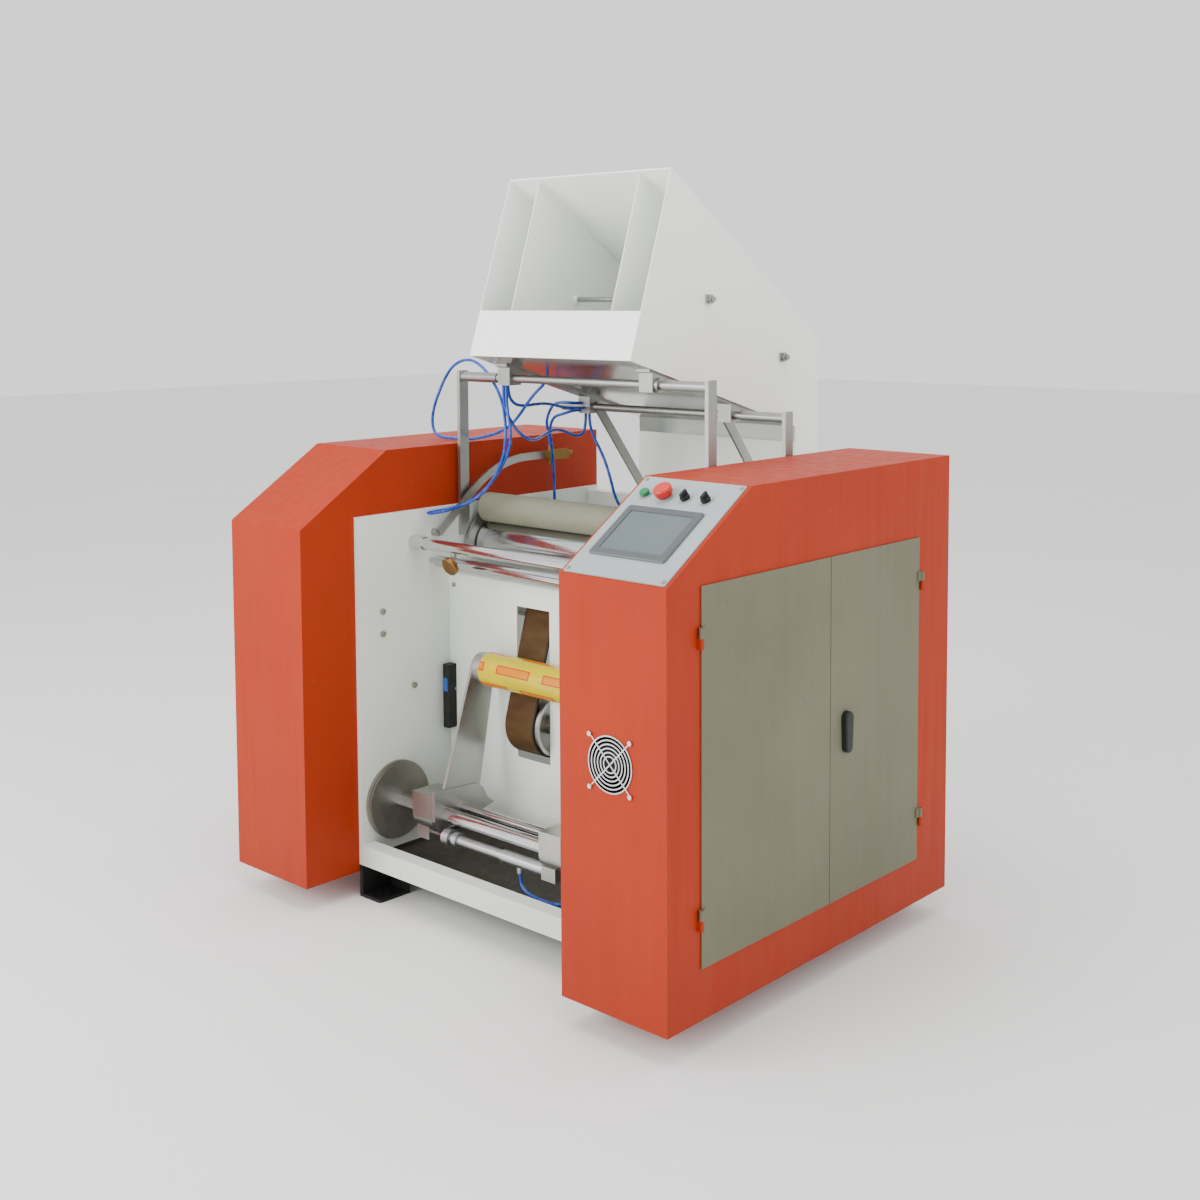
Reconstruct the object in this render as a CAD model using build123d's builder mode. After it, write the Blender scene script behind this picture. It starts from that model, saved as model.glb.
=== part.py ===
from build123d import *
import os
from math import asin, atan2, cos, hypot, pi, radians, sin, tan

# Film rewinding machine with an automatic core hopper.
# X runs across the machine, Y from front to back, Z up. The origin is on the floor,
# midway between the four floor bolts. All sizes are in millimetres.

# Overall sizes
overall_width = 1400
cabinet_width = 278
cabinet_depth = 1030
cabinet_bottom = 62
cabinet_height = 1034
cabinet_front_height = 864
slope_depth = 265
cabinet_setback = 160
sheet = 2

# Side plates and floor frame
plate_thickness = 12
plate_depth = 860
plate_bottom = 80
plate_height = 860
beam_depth = 40
beam_height = 50
beam_wall = 3
foot_length = 95
foot_width = 77
foot_pad = 8
foot_wall = 8
foot_corner = 10
floor_bolt_radius = 7
floor_bolt_inset = 44
tray_rise = 10

# Clearances
running_fit = 0.05
gap = 0.3

# Front panel with its window, and the belt that drives the film roll
panel_sheet = 3
panel_front_y = -135
panel_low = 170
panel_high = 768
window_centre_x = -107
window_width = 112
window_low = 335
window_high = 713
belt_wheel_radius = 75
belt_wheel_overhang = 10
belt_wheel_dish = 25
belt_wheel_rim = 8
belt_wheel_hub = 24
belt_wheel_y = -102
belt_wheel_z = 425
belt_idler_radius = 45
belt_idler_y = -60
belt_idler_z = 680
belt_centre_x = -112
belt_width = 96
belt_thickness = 4
belt_shaft_radius = 10

# Rollers above the panel
roller_length = 770
chrome_roller_radius = 57.5
chrome_roller_y = -5
chrome_roller_z = 833
chrome_shaft_radius = 15
rubber_roller_radius = 38
rubber_lean = 9
rubber_shaft_radius = 12
nip_arm_thickness = 10
nip_arm_gap = 3
nip_pivot_y = -75
nip_pivot_z = 836
nip_pivot_radius = 8
guide_roller_radius = 15
guide_roller_y = -194
guide_roller_z = 807
guide_shaft_radius = 8
guide_bar_radius = 14
guide_bar_y = -253
guide_bar_z = 861
guide_collar_radius = 17
guide_collar_length = 45

# Swing shaft with the two roll arms
swing_y = -320
swing_z = 221
swing_shaft_radius = 17.5
swing_journal_radius = 12
flange_radius = 97
flange_thickness = 10
disc_radius = 94
disc_thickness = 6
carriage_length = 68
carriage_boss_radius = 40
carriage_head = 53
bracket_thickness = 11
arm_thickness = 8
arm_eye_radius = 38
rail_offset_y = 55
rail_offset_z = 4
rail_radius = 12.5
film_width = 380
roll_centre_x = -12
film_radius = 42
core_bore_radius = 25
roll_rise = 338
chuck_flange_radius = 39
chuck_flange_length = 23
chuck_nose_length = 40
chuck_shaft_radius = 12
chuck_shaft_length = 22

# Gripping cylinder under the swing shaft
cylinder_offset_y = -15
cylinder_offset_z = -45
cylinder_radius = 12
cylinder_cap_radius = 15
cylinder_nut_radius = 20
cylinder_bore_radius = 10
cylinder_rod_radius = 5
cylinder_exposed_rod = 44
cylinder_cap_length = 140
lug_length = 43
lug_width = 34
lug_height = 32

# Hopper
hopper_width = 524
hopper_front_low_y = -191
hopper_front_low_z = 1328
hopper_front_lean = 143
hopper_front_rise = 434
hopper_length = 727
floor_angle = 16.6
roof_drop = 396
lip_rise = 110
duct_depth = 97
duct_bottom = 640
divider_spacing = 324
divider_sheet = 2
divider_margin = 4
divider_rod_radius = 6
divider_rod_stand = 20
divider_rod_ys = (85, 380)
divider_rod_share = 0.51
tab_size = 22
tab_thickness = 6

# Hopper supports
post_thickness = 10
post_width = 30
post_foot_z = 862
post_top_rise = 16
front_rod_y = -85
rear_rod_y = 205
rod_radius = 10
rod_drop = 28
sleeve_radius = 12.5
rear_rod_left_x = -325
mount_x = 232
mount_width = 40
mount_half_depth = 20
mount_rail_thickness = 6
mount_rail_margin = 30
strut_thickness = 6
strut_width = 26

# Bent arm and manifold over the rollers
bent_arm_thickness = 6
bent_arm_width = 20
bent_arm_x = -392
manifold_length = 80
valve_length = 100
valve_depth = 56
valve_height = 40
valve_centre_y = 200

# Drive in the left cabinet
motor_y = 100
motor_z = 300
motor_radius = 75
motor_length = 170
motor_shaft_radius = 12
motor_pulley_radius = 36
roller_pulley_radius = 50
belt_pulley_radius = 45
timing_belt_width = 22
timing_belt_thickness = 4
timing_belt_gap = 8
motor_pulley_wall = 14

# Doors of the right cabinet
door_low = 166.5
door_high = 919
door_front_inset = 101
door_rear_inset = 135
door_split_y = -52
door_split_gap = 2
door_stand = 1
door_sheet = 2
door_flange_depth = 17
door_lap = 9
door_flange_inset = 12
hinge_radius = 5
hinge_pin_radius = 3
hinge_length = 21
hinge_out = 7
hinge_side = 6
hinge_inset_z = 100
handle_setback = 55
handle_z = 531
handle_length = 94
handle_width = 30
handle_thickness = 14

# Control panel on the right cabinet's slope
control_margin_x = 8
control_margin_y = 6
control_thickness = 3
control_opening_margin = 20
screen_width = 196
screen_height = 151
screen_u = 34
screen_v = 62
screen_depth = 30
screen_stand = 5
screen_recess = 1.5
screen_frame = 17
button_row_v = 252
push_u = 46
estop_u = 100
selector_us = (152, 205)
bezel_radius = 15
bezel_height = 4
button_radius = 11
button_rise = 7
button_travel = 3
estop_radius = 20
estop_stem_radius = 11
estop_height = 26
estop_travel = 5
button_barrel = 30

# Fan on the right cabinet's front
fan_x = 558
fan_z = 566
fan_size = 120
fan_depth = 38
fan_bore_radius = 56
fan_screw_spacing = 105
fan_hub_radius = 21
fan_blade_radius = 53
fan_blades = 7
guard_wire = 1.3
guard_rings = 6
guard_pitch = 8

# Places worked out from the sizes above
half_width = overall_width / 2
cabinet_inner_x = half_width - cabinet_width
plate_inner_x = cabinet_inner_x - plate_thickness
plate_front_y = -plate_depth / 2
plate_rear_y = plate_depth / 2
plate_top = plate_bottom + plate_height
cabinet_front_y = plate_front_y - cabinet_setback
cabinet_rear_y = cabinet_front_y + cabinet_depth
cabinet_top = cabinet_bottom + cabinet_height
cabinet_front_top = cabinet_bottom + cabinet_front_height
slope_top_y = cabinet_front_y + slope_depth
slope_angle = atan2(cabinet_height - cabinet_front_height, slope_depth)
slope_length = slope_depth / cos(slope_angle)
slope_plane = Plane(
    origin=(cabinet_inner_x, cabinet_front_y, cabinet_front_top),
    x_dir=(1, 0, 0),
    z_dir=(0, -sin(slope_angle), cos(slope_angle)),
)

chrome_roller = (chrome_roller_y, chrome_roller_z)
nip_distance = chrome_roller_radius + rubber_roller_radius + gap
rubber_roller = (
    chrome_roller_y - nip_distance * sin(radians(rubber_lean)),
    chrome_roller_z + nip_distance * cos(radians(rubber_lean)),
)
nip_pivot = (nip_pivot_y, nip_pivot_z)
guide_roller = (guide_roller_y, guide_roller_z)
guide_bar = (guide_bar_y, guide_bar_z)
belt_wheel = (belt_wheel_y, belt_wheel_z)
belt_idler = (belt_idler_y, belt_idler_z)
wheel_outer_radius = belt_wheel_radius + gap + belt_thickness
idler_outer_radius = belt_idler_radius + gap + belt_thickness
# The belt's front run leans back from the wheel to the idler, and the roll lies on it.
axis_lean = atan2(belt_idler_y - belt_wheel_y, belt_idler_z - belt_wheel_z)
axis_distance = hypot(belt_idler_y - belt_wheel_y, belt_idler_z - belt_wheel_z)
belt_lean = axis_lean + asin((wheel_outer_radius - idler_outer_radius) / axis_distance)
swing_axis = (swing_y, swing_z)
roll_z = swing_z + roll_rise
roll_reach = wheel_outer_radius + gap + film_radius
roll_axis = (
    belt_wheel_y + (sin(belt_lean) * (roll_z - belt_wheel_z) - roll_reach) / cos(belt_lean),
    roll_z,
)
rail_axis = (swing_y + rail_offset_y, swing_z + rail_offset_z)
cylinder_axis = (swing_y + cylinder_offset_y, swing_z + cylinder_offset_z)
motor_axis = (motor_y, motor_z)
film_left_x = roll_centre_x - film_width / 2
film_right_x = roll_centre_x + film_width / 2
arm_stand = chuck_flange_length + gap
left_arm = (film_left_x - arm_stand - arm_thickness, film_left_x - arm_stand)
right_arm = (film_right_x + arm_stand, film_right_x + arm_stand + arm_thickness)
left_bracket = (left_arm[0], left_arm[0] + bracket_thickness)
right_bracket = (right_arm[1] - bracket_thickness, right_arm[1])

hopper_side_x = hopper_width / 2
hopper_front_top_y = hopper_front_low_y + hopper_front_lean
hopper_front_top_z = hopper_front_low_z + hopper_front_rise
hopper_rear_y = hopper_front_low_y + hopper_length
duct_front_y = hopper_rear_y - duct_depth
floor_slope = tan(radians(floor_angle))
roof_slope = roof_drop / (hopper_rear_y - hopper_front_top_y)
front_slope = hopper_front_lean / hopper_front_rise


def floor_z(y):
    """Height of the hopper floor's underside."""
    return hopper_front_low_z - floor_slope * (y - hopper_front_low_y)


def roof_z(y):
    """Height of the hopper roof's outside."""
    return hopper_front_top_z - roof_slope * (y - hopper_front_top_y)


def front_y(z):
    """Place of the hopper's leaning front at a height."""
    return hopper_front_low_y + front_slope * (z - hopper_front_low_z)


front_rod = (front_rod_y, floor_z(front_rod_y) - rod_drop)
rear_rod = (rear_rod_y, floor_z(rear_rod_y) - rod_drop)
divider_rods = [
    (y, floor_z(y) + divider_rod_share * (roof_z(y) - floor_z(y))) for y in divider_rod_ys
]

finished = []


def finish(part, name):
    """Labels a finished piece and keeps it for export."""
    part.label = name
    finished.append(part)


def block(x, y, z, mode=Mode.ADD):
    """A box in the part being built, from three (low, high) pairs."""
    with Locations(((x[0] + x[1]) / 2, (y[0] + y[1]) / 2, (z[0] + z[1]) / 2)):
        Box(x[1] - x[0], y[1] - y[0], z[1] - z[0], mode=mode)


def round_x(x, centre, radius, mode=Mode.ADD):
    """A round bar along X, from its (low, high) pair and its (y, z) centre."""
    with Locations(Location(((x[0] + x[1]) / 2, centre[0], centre[1]), (0, 90, 0))):
        Cylinder(radius, x[1] - x[0], mode=mode)


def round_y(y, centre, radius, mode=Mode.ADD):
    """A round bar along Y, from its (low, high) pair and its (x, z) centre."""
    with Locations(Location((centre[0], (y[0] + y[1]) / 2, centre[1]), (90, 0, 0))):
        Cylinder(radius, y[1] - y[0], mode=mode)


def round_z(z, centre, radius, mode=Mode.ADD):
    """A round bar along Z, from its (low, high) pair and its (x, y) centre."""
    with Locations((centre[0], centre[1], (z[0] + z[1]) / 2)):
        Cylinder(radius, z[1] - z[0], mode=mode)


def outline_x(x, corners, mode=Mode.ADD):
    """A flat shape across X, from its (low, high) pair and its (y, z) corners."""
    with BuildSketch(Plane.YZ.offset(x[0]), mode=Mode.PRIVATE) as shape:
        Polygon(*corners, align=None)
    extrude(shape.sketch, amount=x[1] - x[0], dir=(1, 0, 0), mode=mode)


def hull_x(x, circles, corners=(), mode=Mode.ADD):
    """The tight outline round circles and corners, standing across X."""
    with BuildSketch(Plane.YZ.offset(x[0]), mode=Mode.PRIVATE) as shape:
        for centre, radius in circles:
            with Locations(centre):
                Circle(radius)
        if corners:
            Polygon(*corners, align=None)
        make_hull()
    extrude(shape.sketch, amount=x[1] - x[0], dir=(1, 0, 0), mode=mode)


def both_ways(x):
    """The same (low, high) pair on the right and on the left of the middle."""
    return (x, (-x[1], -x[0]))


# --- Frame -----------------------------------------------------------------------------

journal_holes = [
    (chrome_roller, chrome_shaft_radius),
    (nip_pivot, nip_pivot_radius),
    (guide_roller, guide_shaft_radius),
    (belt_wheel, belt_shaft_radius),
    (belt_idler, belt_shaft_radius),
    (swing_axis, swing_journal_radius),
]
plate_right = (plate_inner_x, cabinet_inner_x)
plate_left = (-cabinet_inner_x, -plate_inner_x)

for name, x in (("left_side_plate", plate_left), ("right_side_plate", plate_right)):
    with BuildPart() as side_plate:
        block(x, (plate_front_y, plate_rear_y), (plate_bottom, plate_top))
        for centre, radius in journal_holes:
            round_x(x, centre, radius + running_fit, mode=Mode.SUBTRACT)
    finish(side_plate.part, name)

between_plates = (-plate_inner_x, plate_inner_x)


def beam(y, z):
    """A square tube between the side plates."""
    block(between_plates, y, z)
    inner_y = (y[0] + beam_wall, y[1] - beam_wall)
    inner_z = (z[0] + beam_wall, z[1] - beam_wall)
    block(between_plates, inner_y, inner_z, mode=Mode.SUBTRACT)


beam_z = (plate_bottom, plate_bottom + beam_height)
front_beam_y = (plate_front_y, plate_front_y + beam_depth)
rear_beam_y = (plate_rear_y - beam_depth, plate_rear_y)
upper_tie_z = (plate_top - 10 - beam_height, plate_top - 10)

with BuildPart() as cross_beams:
    beam(front_beam_y, beam_z)
    beam(rear_beam_y, beam_z)
    beam(rear_beam_y, upper_tie_z)
finish(cross_beams.part, "cross_beams")

# Each foot is a pad with a web under the side plate and a wall that stiffens it.
floor_bolt_x = cabinet_inner_x - floor_bolt_inset
floor_bolt_y = plate_rear_y - floor_bolt_inset
with BuildPart() as feet:
    for side in (-1, 1):
        for end in (-1, 1):
            outer_x = side * cabinet_inner_x
            inner_x = side * (cabinet_inner_x - foot_width)
            web_x = side * plate_inner_x
            outer_y = end * plate_rear_y
            inner_y = end * (plate_rear_y - foot_length)
            wall_y = end * (plate_rear_y - foot_length + foot_wall)
            foot_x = sorted((outer_x, inner_x))
            foot_y = sorted((outer_y, inner_y))
            block(foot_x, foot_y, (0, foot_pad))
            block(sorted((outer_x, web_x)), foot_y, (foot_pad, plate_bottom))
            block(sorted((web_x, inner_x)), sorted((inner_y, wall_y)), (foot_pad, plate_bottom))
            hole = (side * floor_bolt_x, end * floor_bolt_y)
            round_z((0, foot_pad), hole, floor_bolt_radius, mode=Mode.SUBTRACT)
    pad_corners = feet.edges().filter_by(Axis.Z).filter_by(
        lambda edge: edge.length < foot_pad + 1
    )
    outer_corners = pad_corners.filter_by(lambda edge: abs(edge.center().X) < plate_inner_x - 1)
    fillet(outer_corners.filter_by(GeomType.LINE), radius=foot_corner)
finish(feet.part, "feet")

tray_y = (front_beam_y[1], rear_beam_y[0])
with BuildPart() as drip_tray:
    block(between_plates, tray_y, (plate_bottom + tray_rise, plate_bottom + 2 * tray_rise))
    inner_x = (between_plates[0] + sheet, between_plates[1] - sheet)
    inner_y = (tray_y[0] + sheet, tray_y[1] - sheet)
    tray_floor = plate_bottom + tray_rise + sheet
    block(inner_x, inner_y, (tray_floor, plate_bottom + 2 * tray_rise), mode=Mode.SUBTRACT)
finish(drip_tray.part, "drip_tray")

window_x = (window_centre_x - window_width / 2, window_centre_x + window_width / 2)
panel_y = (panel_front_y, panel_front_y + panel_sheet)
with BuildPart() as front_panel:
    block(between_plates, panel_y, (panel_low, panel_high))
    block(window_x, panel_y, (window_low, window_high), mode=Mode.SUBTRACT)
    # A stiffening fold runs back from the top edge.
    fold_y = (panel_y[1], panel_y[1] + 18)
    block(between_plates, fold_y, (panel_high - panel_sheet, panel_high))
finish(front_panel.part, "front_panel")

# --- Cabinets --------------------------------------------------------------------------

cabinet_outline = [
    (cabinet_front_y, cabinet_bottom),
    (cabinet_rear_y, cabinet_bottom),
    (cabinet_rear_y, cabinet_top),
    (slope_top_y, cabinet_top),
    (cabinet_front_y, cabinet_front_top),
]


def cabinet_shell(x, hollow_x):
    """A sheet-metal cabinet with a sloping front shoulder, hollow between two places."""
    outline_x(x, cabinet_outline)
    with BuildSketch(Plane.YZ.offset(hollow_x[0]), mode=Mode.PRIVATE) as inside:
        Polygon(*cabinet_outline, align=None)
        offset(amount=-sheet, kind=Kind.INTERSECTION, mode=Mode.REPLACE)
    reach = hollow_x[1] - hollow_x[0]
    extrude(inside.sketch, amount=reach, dir=(1, 0, 0), mode=Mode.SUBTRACT)


left_cabinet_x = (-half_width, -cabinet_inner_x)
right_cabinet_x = (cabinet_inner_x, half_width - sheet)
left_wall_x = (-cabinet_inner_x - sheet, -cabinet_inner_x)
shaft_hole_clearance = 4
with BuildPart() as left_cabinet:
    cabinet_shell(left_cabinet_x, (left_cabinet_x[0] + sheet, left_cabinet_x[1] - sheet))
    for centre, radius in (
        (chrome_roller, chrome_shaft_radius),
        (belt_wheel, belt_shaft_radius),
    ):
        round_x(left_wall_x, centre, radius + shaft_hole_clearance, mode=Mode.SUBTRACT)
finish(left_cabinet.part, "left_cabinet")

door_front_y = (cabinet_front_y + door_front_inset, door_split_y - door_split_gap / 2)
door_rear_y = (door_split_y + door_split_gap / 2, cabinet_rear_y - door_rear_inset)
opening_y = (door_front_y[0] + door_lap, door_rear_y[1] - door_lap)
opening_z = (door_low + door_lap, door_high - door_lap)
right_wall_x = (half_width - sheet, half_width)
hinge_x = half_width + hinge_out
hinge_front_y = door_front_y[0] - hinge_side
hinge_rear_y = door_rear_y[1] + hinge_side
hinge_zs = (door_low + hinge_inset_z, door_high - hinge_inset_z)
control_x = (control_margin_x, cabinet_width - control_margin_x)
control_y = (control_margin_y, slope_length - control_margin_y)
inlet_radius = 12.5
inlet_x = cabinet_inner_x + cabinet_width / 2
inlet_z = cabinet_bottom + 88
with BuildPart() as right_cabinet:
    cabinet_shell(right_cabinet_x, (right_cabinet_x[0] + sheet, right_cabinet_x[1]))
    front_wall_y = (cabinet_front_y, cabinet_front_y + sheet)
    rear_wall_y = (cabinet_rear_y - sheet, cabinet_rear_y)
    round_y(front_wall_y, (fan_x, fan_z), fan_bore_radius, mode=Mode.SUBTRACT)
    round_y(rear_wall_y, (inlet_x, inlet_z), inlet_radius, mode=Mode.SUBTRACT)
    # The slope is open behind the control panel, with a rim for its screws.
    with BuildSketch(slope_plane) as control_opening:
        with Locations((cabinet_width / 2, slope_length / 2)):
            Rectangle(
                control_x[1] - control_x[0] - 2 * control_opening_margin,
                control_y[1] - control_y[0] - 2 * control_opening_margin,
            )
    extrude(amount=-2 * sheet, mode=Mode.SUBTRACT)
finish(right_cabinet.part, "right_cabinet")

# The outer wall closes the cabinet. It holds the fixed hinge halves with their pins.
with BuildPart() as door_surround:
    outline_x(right_wall_x, cabinet_outline)
    block(right_wall_x, opening_y, opening_z, mode=Mode.SUBTRACT)
    for y, inward in ((hinge_front_y, 1), (hinge_rear_y, -1)):
        for z in hinge_zs:
            knuckle_z = (z - hinge_length, z)
            round_z(knuckle_z, (hinge_x, y), hinge_radius)
            lug_y = sorted((y - inward * hinge_radius, y))
            block((half_width, hinge_x), lug_y, knuckle_z)
            round_z((z, z + hinge_length - 1), (hinge_x, y), hinge_pin_radius)
finish(door_surround.part, "door_surround")


def door(y, hinge_y, handle_hole=None):
    """A door leaf with a folded rim and its two hinge halves."""
    inner_face = half_width + door_stand
    outer_face = inner_face + door_sheet
    block((inner_face, outer_face), y, (door_low, door_high))
    rim_y = (y[0] + door_flange_inset, y[1] - door_flange_inset)
    if hinge_y > y[1]:
        rim_y = (y[0] + door_sheet, rim_y[1])
    else:
        rim_y = (rim_y[0], y[1] - door_sheet)
    rim_z = (door_low + door_flange_inset, door_high - door_flange_inset)
    rim_x = (inner_face - door_flange_depth, inner_face)
    block(rim_x, rim_y, rim_z)
    inside_y = (rim_y[0] + door_sheet, rim_y[1] - door_sheet)
    inside_z = (rim_z[0] + door_sheet, rim_z[1] - door_sheet)
    block(rim_x, inside_y, inside_z, mode=Mode.SUBTRACT)
    for z in hinge_zs:
        knuckle_z = (z + gap, z + hinge_length)
        round_z(knuckle_z, (hinge_x, hinge_y), hinge_radius)
        reach_y = sorted((hinge_y, hinge_y + 2.5 * hinge_side * (1 if hinge_y < y[0] else -1)))
        block((outer_face, hinge_x), reach_y, knuckle_z)
        round_z(knuckle_z, (hinge_x, hinge_y), hinge_pin_radius + running_fit, mode=Mode.SUBTRACT)
    if handle_hole:
        centre, radius = handle_hole
        round_x((inner_face, outer_face), centre, radius, mode=Mode.SUBTRACT)


handle_axis = (door_rear_y[0] + handle_setback, handle_z + handle_length / 2 - handle_width / 2)
handle_shank_radius = 7
with BuildPart() as door_front:
    door(door_front_y, hinge_front_y)
finish(door_front.part, "door_front")

with BuildPart() as door_rear:
    door(door_rear_y, hinge_rear_y, (handle_axis, handle_shank_radius + running_fit))
finish(door_rear.part, "door_rear")

# The handle hangs from its shank and turns a small cam behind the leaf.
door_outer_x = half_width + door_stand + door_sheet
with BuildPart() as door_handle:
    grip_x = (door_outer_x + gap, door_outer_x + gap + handle_thickness)
    grip_low = (handle_axis[0], handle_axis[1] - handle_length + handle_width)
    grip_ends = [(handle_axis, handle_width / 2), (grip_low, handle_width / 2 - 3)]
    hull_x(grip_x, grip_ends)
    fillet(door_handle.faces().sort_by(Axis.X)[-1].edges(), radius=4)
    round_x((door_outer_x - 12, grip_x[1] - 5), handle_axis, handle_shank_radius)
    cam_x = (door_outer_x - 12, door_outer_x - 8)
    cam_low = (handle_axis[0], handle_axis[1] - 22)
    hull_x(cam_x, [(handle_axis, 9), (cam_low, 6)])
finish(door_handle.part, "door_handle")

# --- Control panel ---------------------------------------------------------------------

screen_rect = (
    (screen_u + screen_width / 2, screen_v + screen_height / 2),
    (screen_width, screen_height),
)
button_us = (push_u, estop_u) + selector_us
panel_mid = ((control_x[0] + control_x[1]) / 2, (control_y[0] + control_y[1]) / 2)
with BuildPart() as control_panel:
    with BuildSketch(slope_plane) as control_face:
        with Locations(panel_mid):
            Rectangle(control_x[1] - control_x[0], control_y[1] - control_y[0])
        fillet(control_face.vertices(), radius=4)
        with Locations(screen_rect[0]):
            Rectangle(screen_width - 2 * sheet, screen_height - 2 * sheet, mode=Mode.SUBTRACT)
        with Locations([(u, button_row_v) for u in button_us]):
            Circle(button_radius + gap, mode=Mode.SUBTRACT)
    extrude(amount=control_thickness)
finish(control_panel.part, "control_panel")

screen_face = slope_plane.offset(control_thickness)
with BuildPart() as touchscreen:
    with BuildSketch(screen_face) as screen_rim:
        with Locations(screen_rect[0]):
            RectangleRounded(screen_width, screen_height, 6)
    extrude(amount=screen_stand)
    chamfer(touchscreen.faces().sort_by(Axis.Z)[-1].edges(), length=1.5)
    with BuildSketch(screen_face.offset(screen_stand)) as screen_window:
        with Locations(screen_rect[0]):
            Rectangle(screen_width - 2 * screen_frame, screen_height - 2 * screen_frame)
    extrude(amount=-screen_recess, mode=Mode.SUBTRACT)
    with BuildSketch(screen_face) as screen_body:
        with Locations(screen_rect[0]):
            Rectangle(screen_width - 2 * sheet - 1, screen_height - 2 * sheet - 1)
    extrude(amount=-screen_depth)
finish(touchscreen.part, "touchscreen")

with BuildPart() as button_bezels:
    with BuildSketch(screen_face) as bezel_rings:
        with Locations([(u, button_row_v) for u in button_us]):
            Circle(bezel_radius)
            Circle(button_radius + running_fit, mode=Mode.SUBTRACT)
    extrude(amount=bezel_height)
finish(button_bezels.part, "button_bezels")

button_top = bezel_height + button_rise
button_plane = screen_face.offset(button_top)

with BuildPart() as push_button:
    with BuildSketch(button_plane) as push_face:
        with Locations((push_u, button_row_v)):
            Circle(button_radius)
    extrude(amount=-(button_top + button_barrel))
    fillet(push_button.edges().sort_by(Axis.Z)[-1], radius=2)
finish(push_button.part, "push_button")

# The mushroom head stands clear of its bezel by more than its travel.
with BuildPart() as estop_button:
    with BuildSketch(screen_face.offset(bezel_height + estop_travel + 2)) as head:
        with Locations((estop_u, button_row_v)):
            Circle(estop_radius)
    extrude(amount=estop_height - bezel_height - estop_travel - 2)
    fillet(estop_button.edges().sort_by(Axis.Z)[-1], radius=6)
    with BuildSketch(screen_face.offset(bezel_height + estop_travel + 2)) as stem:
        with Locations((estop_u, button_row_v)):
            Circle(estop_stem_radius)
    extrude(amount=-(bezel_height + estop_travel + 2 + button_barrel))
finish(estop_button.part, "estop_button")

for name, u in (("selector_left", selector_us[0]), ("selector_right", selector_us[1])):
    with BuildPart() as selector:
        with BuildSketch(screen_face.offset(bezel_height + gap)) as dial:
            with Locations((u, button_row_v)):
                Circle(button_radius - 1)
        extrude(amount=5)
        with BuildSketch(screen_face.offset(bezel_height + gap + 5)) as lever:
            with Locations((u, button_row_v)):
                Rectangle(6, 2 * button_radius - 3)
        extrude(amount=9)
        with BuildSketch(screen_face.offset(bezel_height + gap)) as shaft:
            with Locations((u, button_row_v)):
                Circle(button_radius - 1)
        extrude(amount=-(bezel_height + button_barrel))
    finish(selector.part, name)

# --- Fan -------------------------------------------------------------------------------

fan_front_y = cabinet_front_y + sheet
fan_mid_y = fan_front_y + fan_depth / 2
with BuildPart() as fan_frame:
    half = fan_size / 2
    fan_y = (fan_front_y, fan_front_y + fan_depth)
    block((fan_x - half, fan_x + half), fan_y, (fan_z - half, fan_z + half))
    fillet(fan_frame.edges().filter_by(Axis.Y), radius=5)
    round_y(fan_y, (fan_x, fan_z), fan_bore_radius, mode=Mode.SUBTRACT)
    # A motor cup on three spokes at the back carries the impeller.
    cup_y = (fan_y[1] - 6, fan_y[1])
    round_y(cup_y, (fan_x, fan_z), fan_hub_radius)
    for turn in (90, 210, 330):
        with BuildSketch(Plane.XZ.offset(-cup_y[1])) as spoke:
            with Locations(Location((fan_x, fan_z), turn)):
                with Locations((0, fan_bore_radius / 2 + 5)):
                    Rectangle(7, fan_bore_radius)
        extrude(amount=cup_y[1] - cup_y[0])
finish(fan_frame.part, "fan_frame")

with BuildPart() as fan_impeller:
    hub_y = (fan_front_y + 5, fan_front_y + fan_depth - 6 - gap)
    round_y(hub_y, (fan_x, fan_z), fan_hub_radius)
    blade_length = fan_blade_radius - fan_hub_radius + 4
    for blade in range(fan_blades):
        turn = 360 / fan_blades * blade
        angle = radians(turn)
        reach = fan_hub_radius - 4 + blade_length / 2
        place = (fan_x + reach * sin(angle), fan_mid_y - 3, fan_z + reach * cos(angle))
        with Locations(Location(place, (0, turn, 0))):
            with Locations(Location((0, 0, 0), (0, 0, 38))):
                Box(24, 2, blade_length)
finish(fan_impeller.part, "fan_impeller")

with BuildPart() as fan_guard:
    guard_y = (cabinet_front_y - 2 * guard_wire, cabinet_front_y)
    for ring in range(guard_rings):
        radius = fan_bore_radius - guard_pitch * ring
        round_y(guard_y, (fan_x, fan_z), radius + guard_wire)
        round_y(guard_y, (fan_x, fan_z), radius - guard_wire, mode=Mode.SUBTRACT)
    for turn in (45, 135):
        with Locations(Location((fan_x, cabinet_front_y - guard_wire, fan_z), (0, turn, 0))):
            Box(2 * guard_wire, 2 * guard_wire, fan_screw_spacing * 2**0.5)
    for side in (-1, 1):
        for end in (-1, 1):
            screw = (fan_x + side * fan_screw_spacing / 2, fan_z + end * fan_screw_spacing / 2)
            round_y((cabinet_front_y - 5, cabinet_front_y), screw, 5)
finish(fan_guard.part, "fan_guard")

# --- Electrical gear behind the doors --------------------------------------------------

gear_plate_x = (cabinet_inner_x + sheet + 8, cabinet_inner_x + sheet + 11)
gear_y = (cabinet_front_y + 140, cabinet_rear_y - 160)
gear_z = (cabinet_bottom + 120, cabinet_front_top - 30)
low_rail_z = gear_z[0] + 130
high_rail_z = gear_z[1] - 230
rail_x = (gear_plate_x[1], gear_plate_x[1] + 7)
duct_x = (gear_plate_x[1], gear_plate_x[1] + 40)
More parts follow.
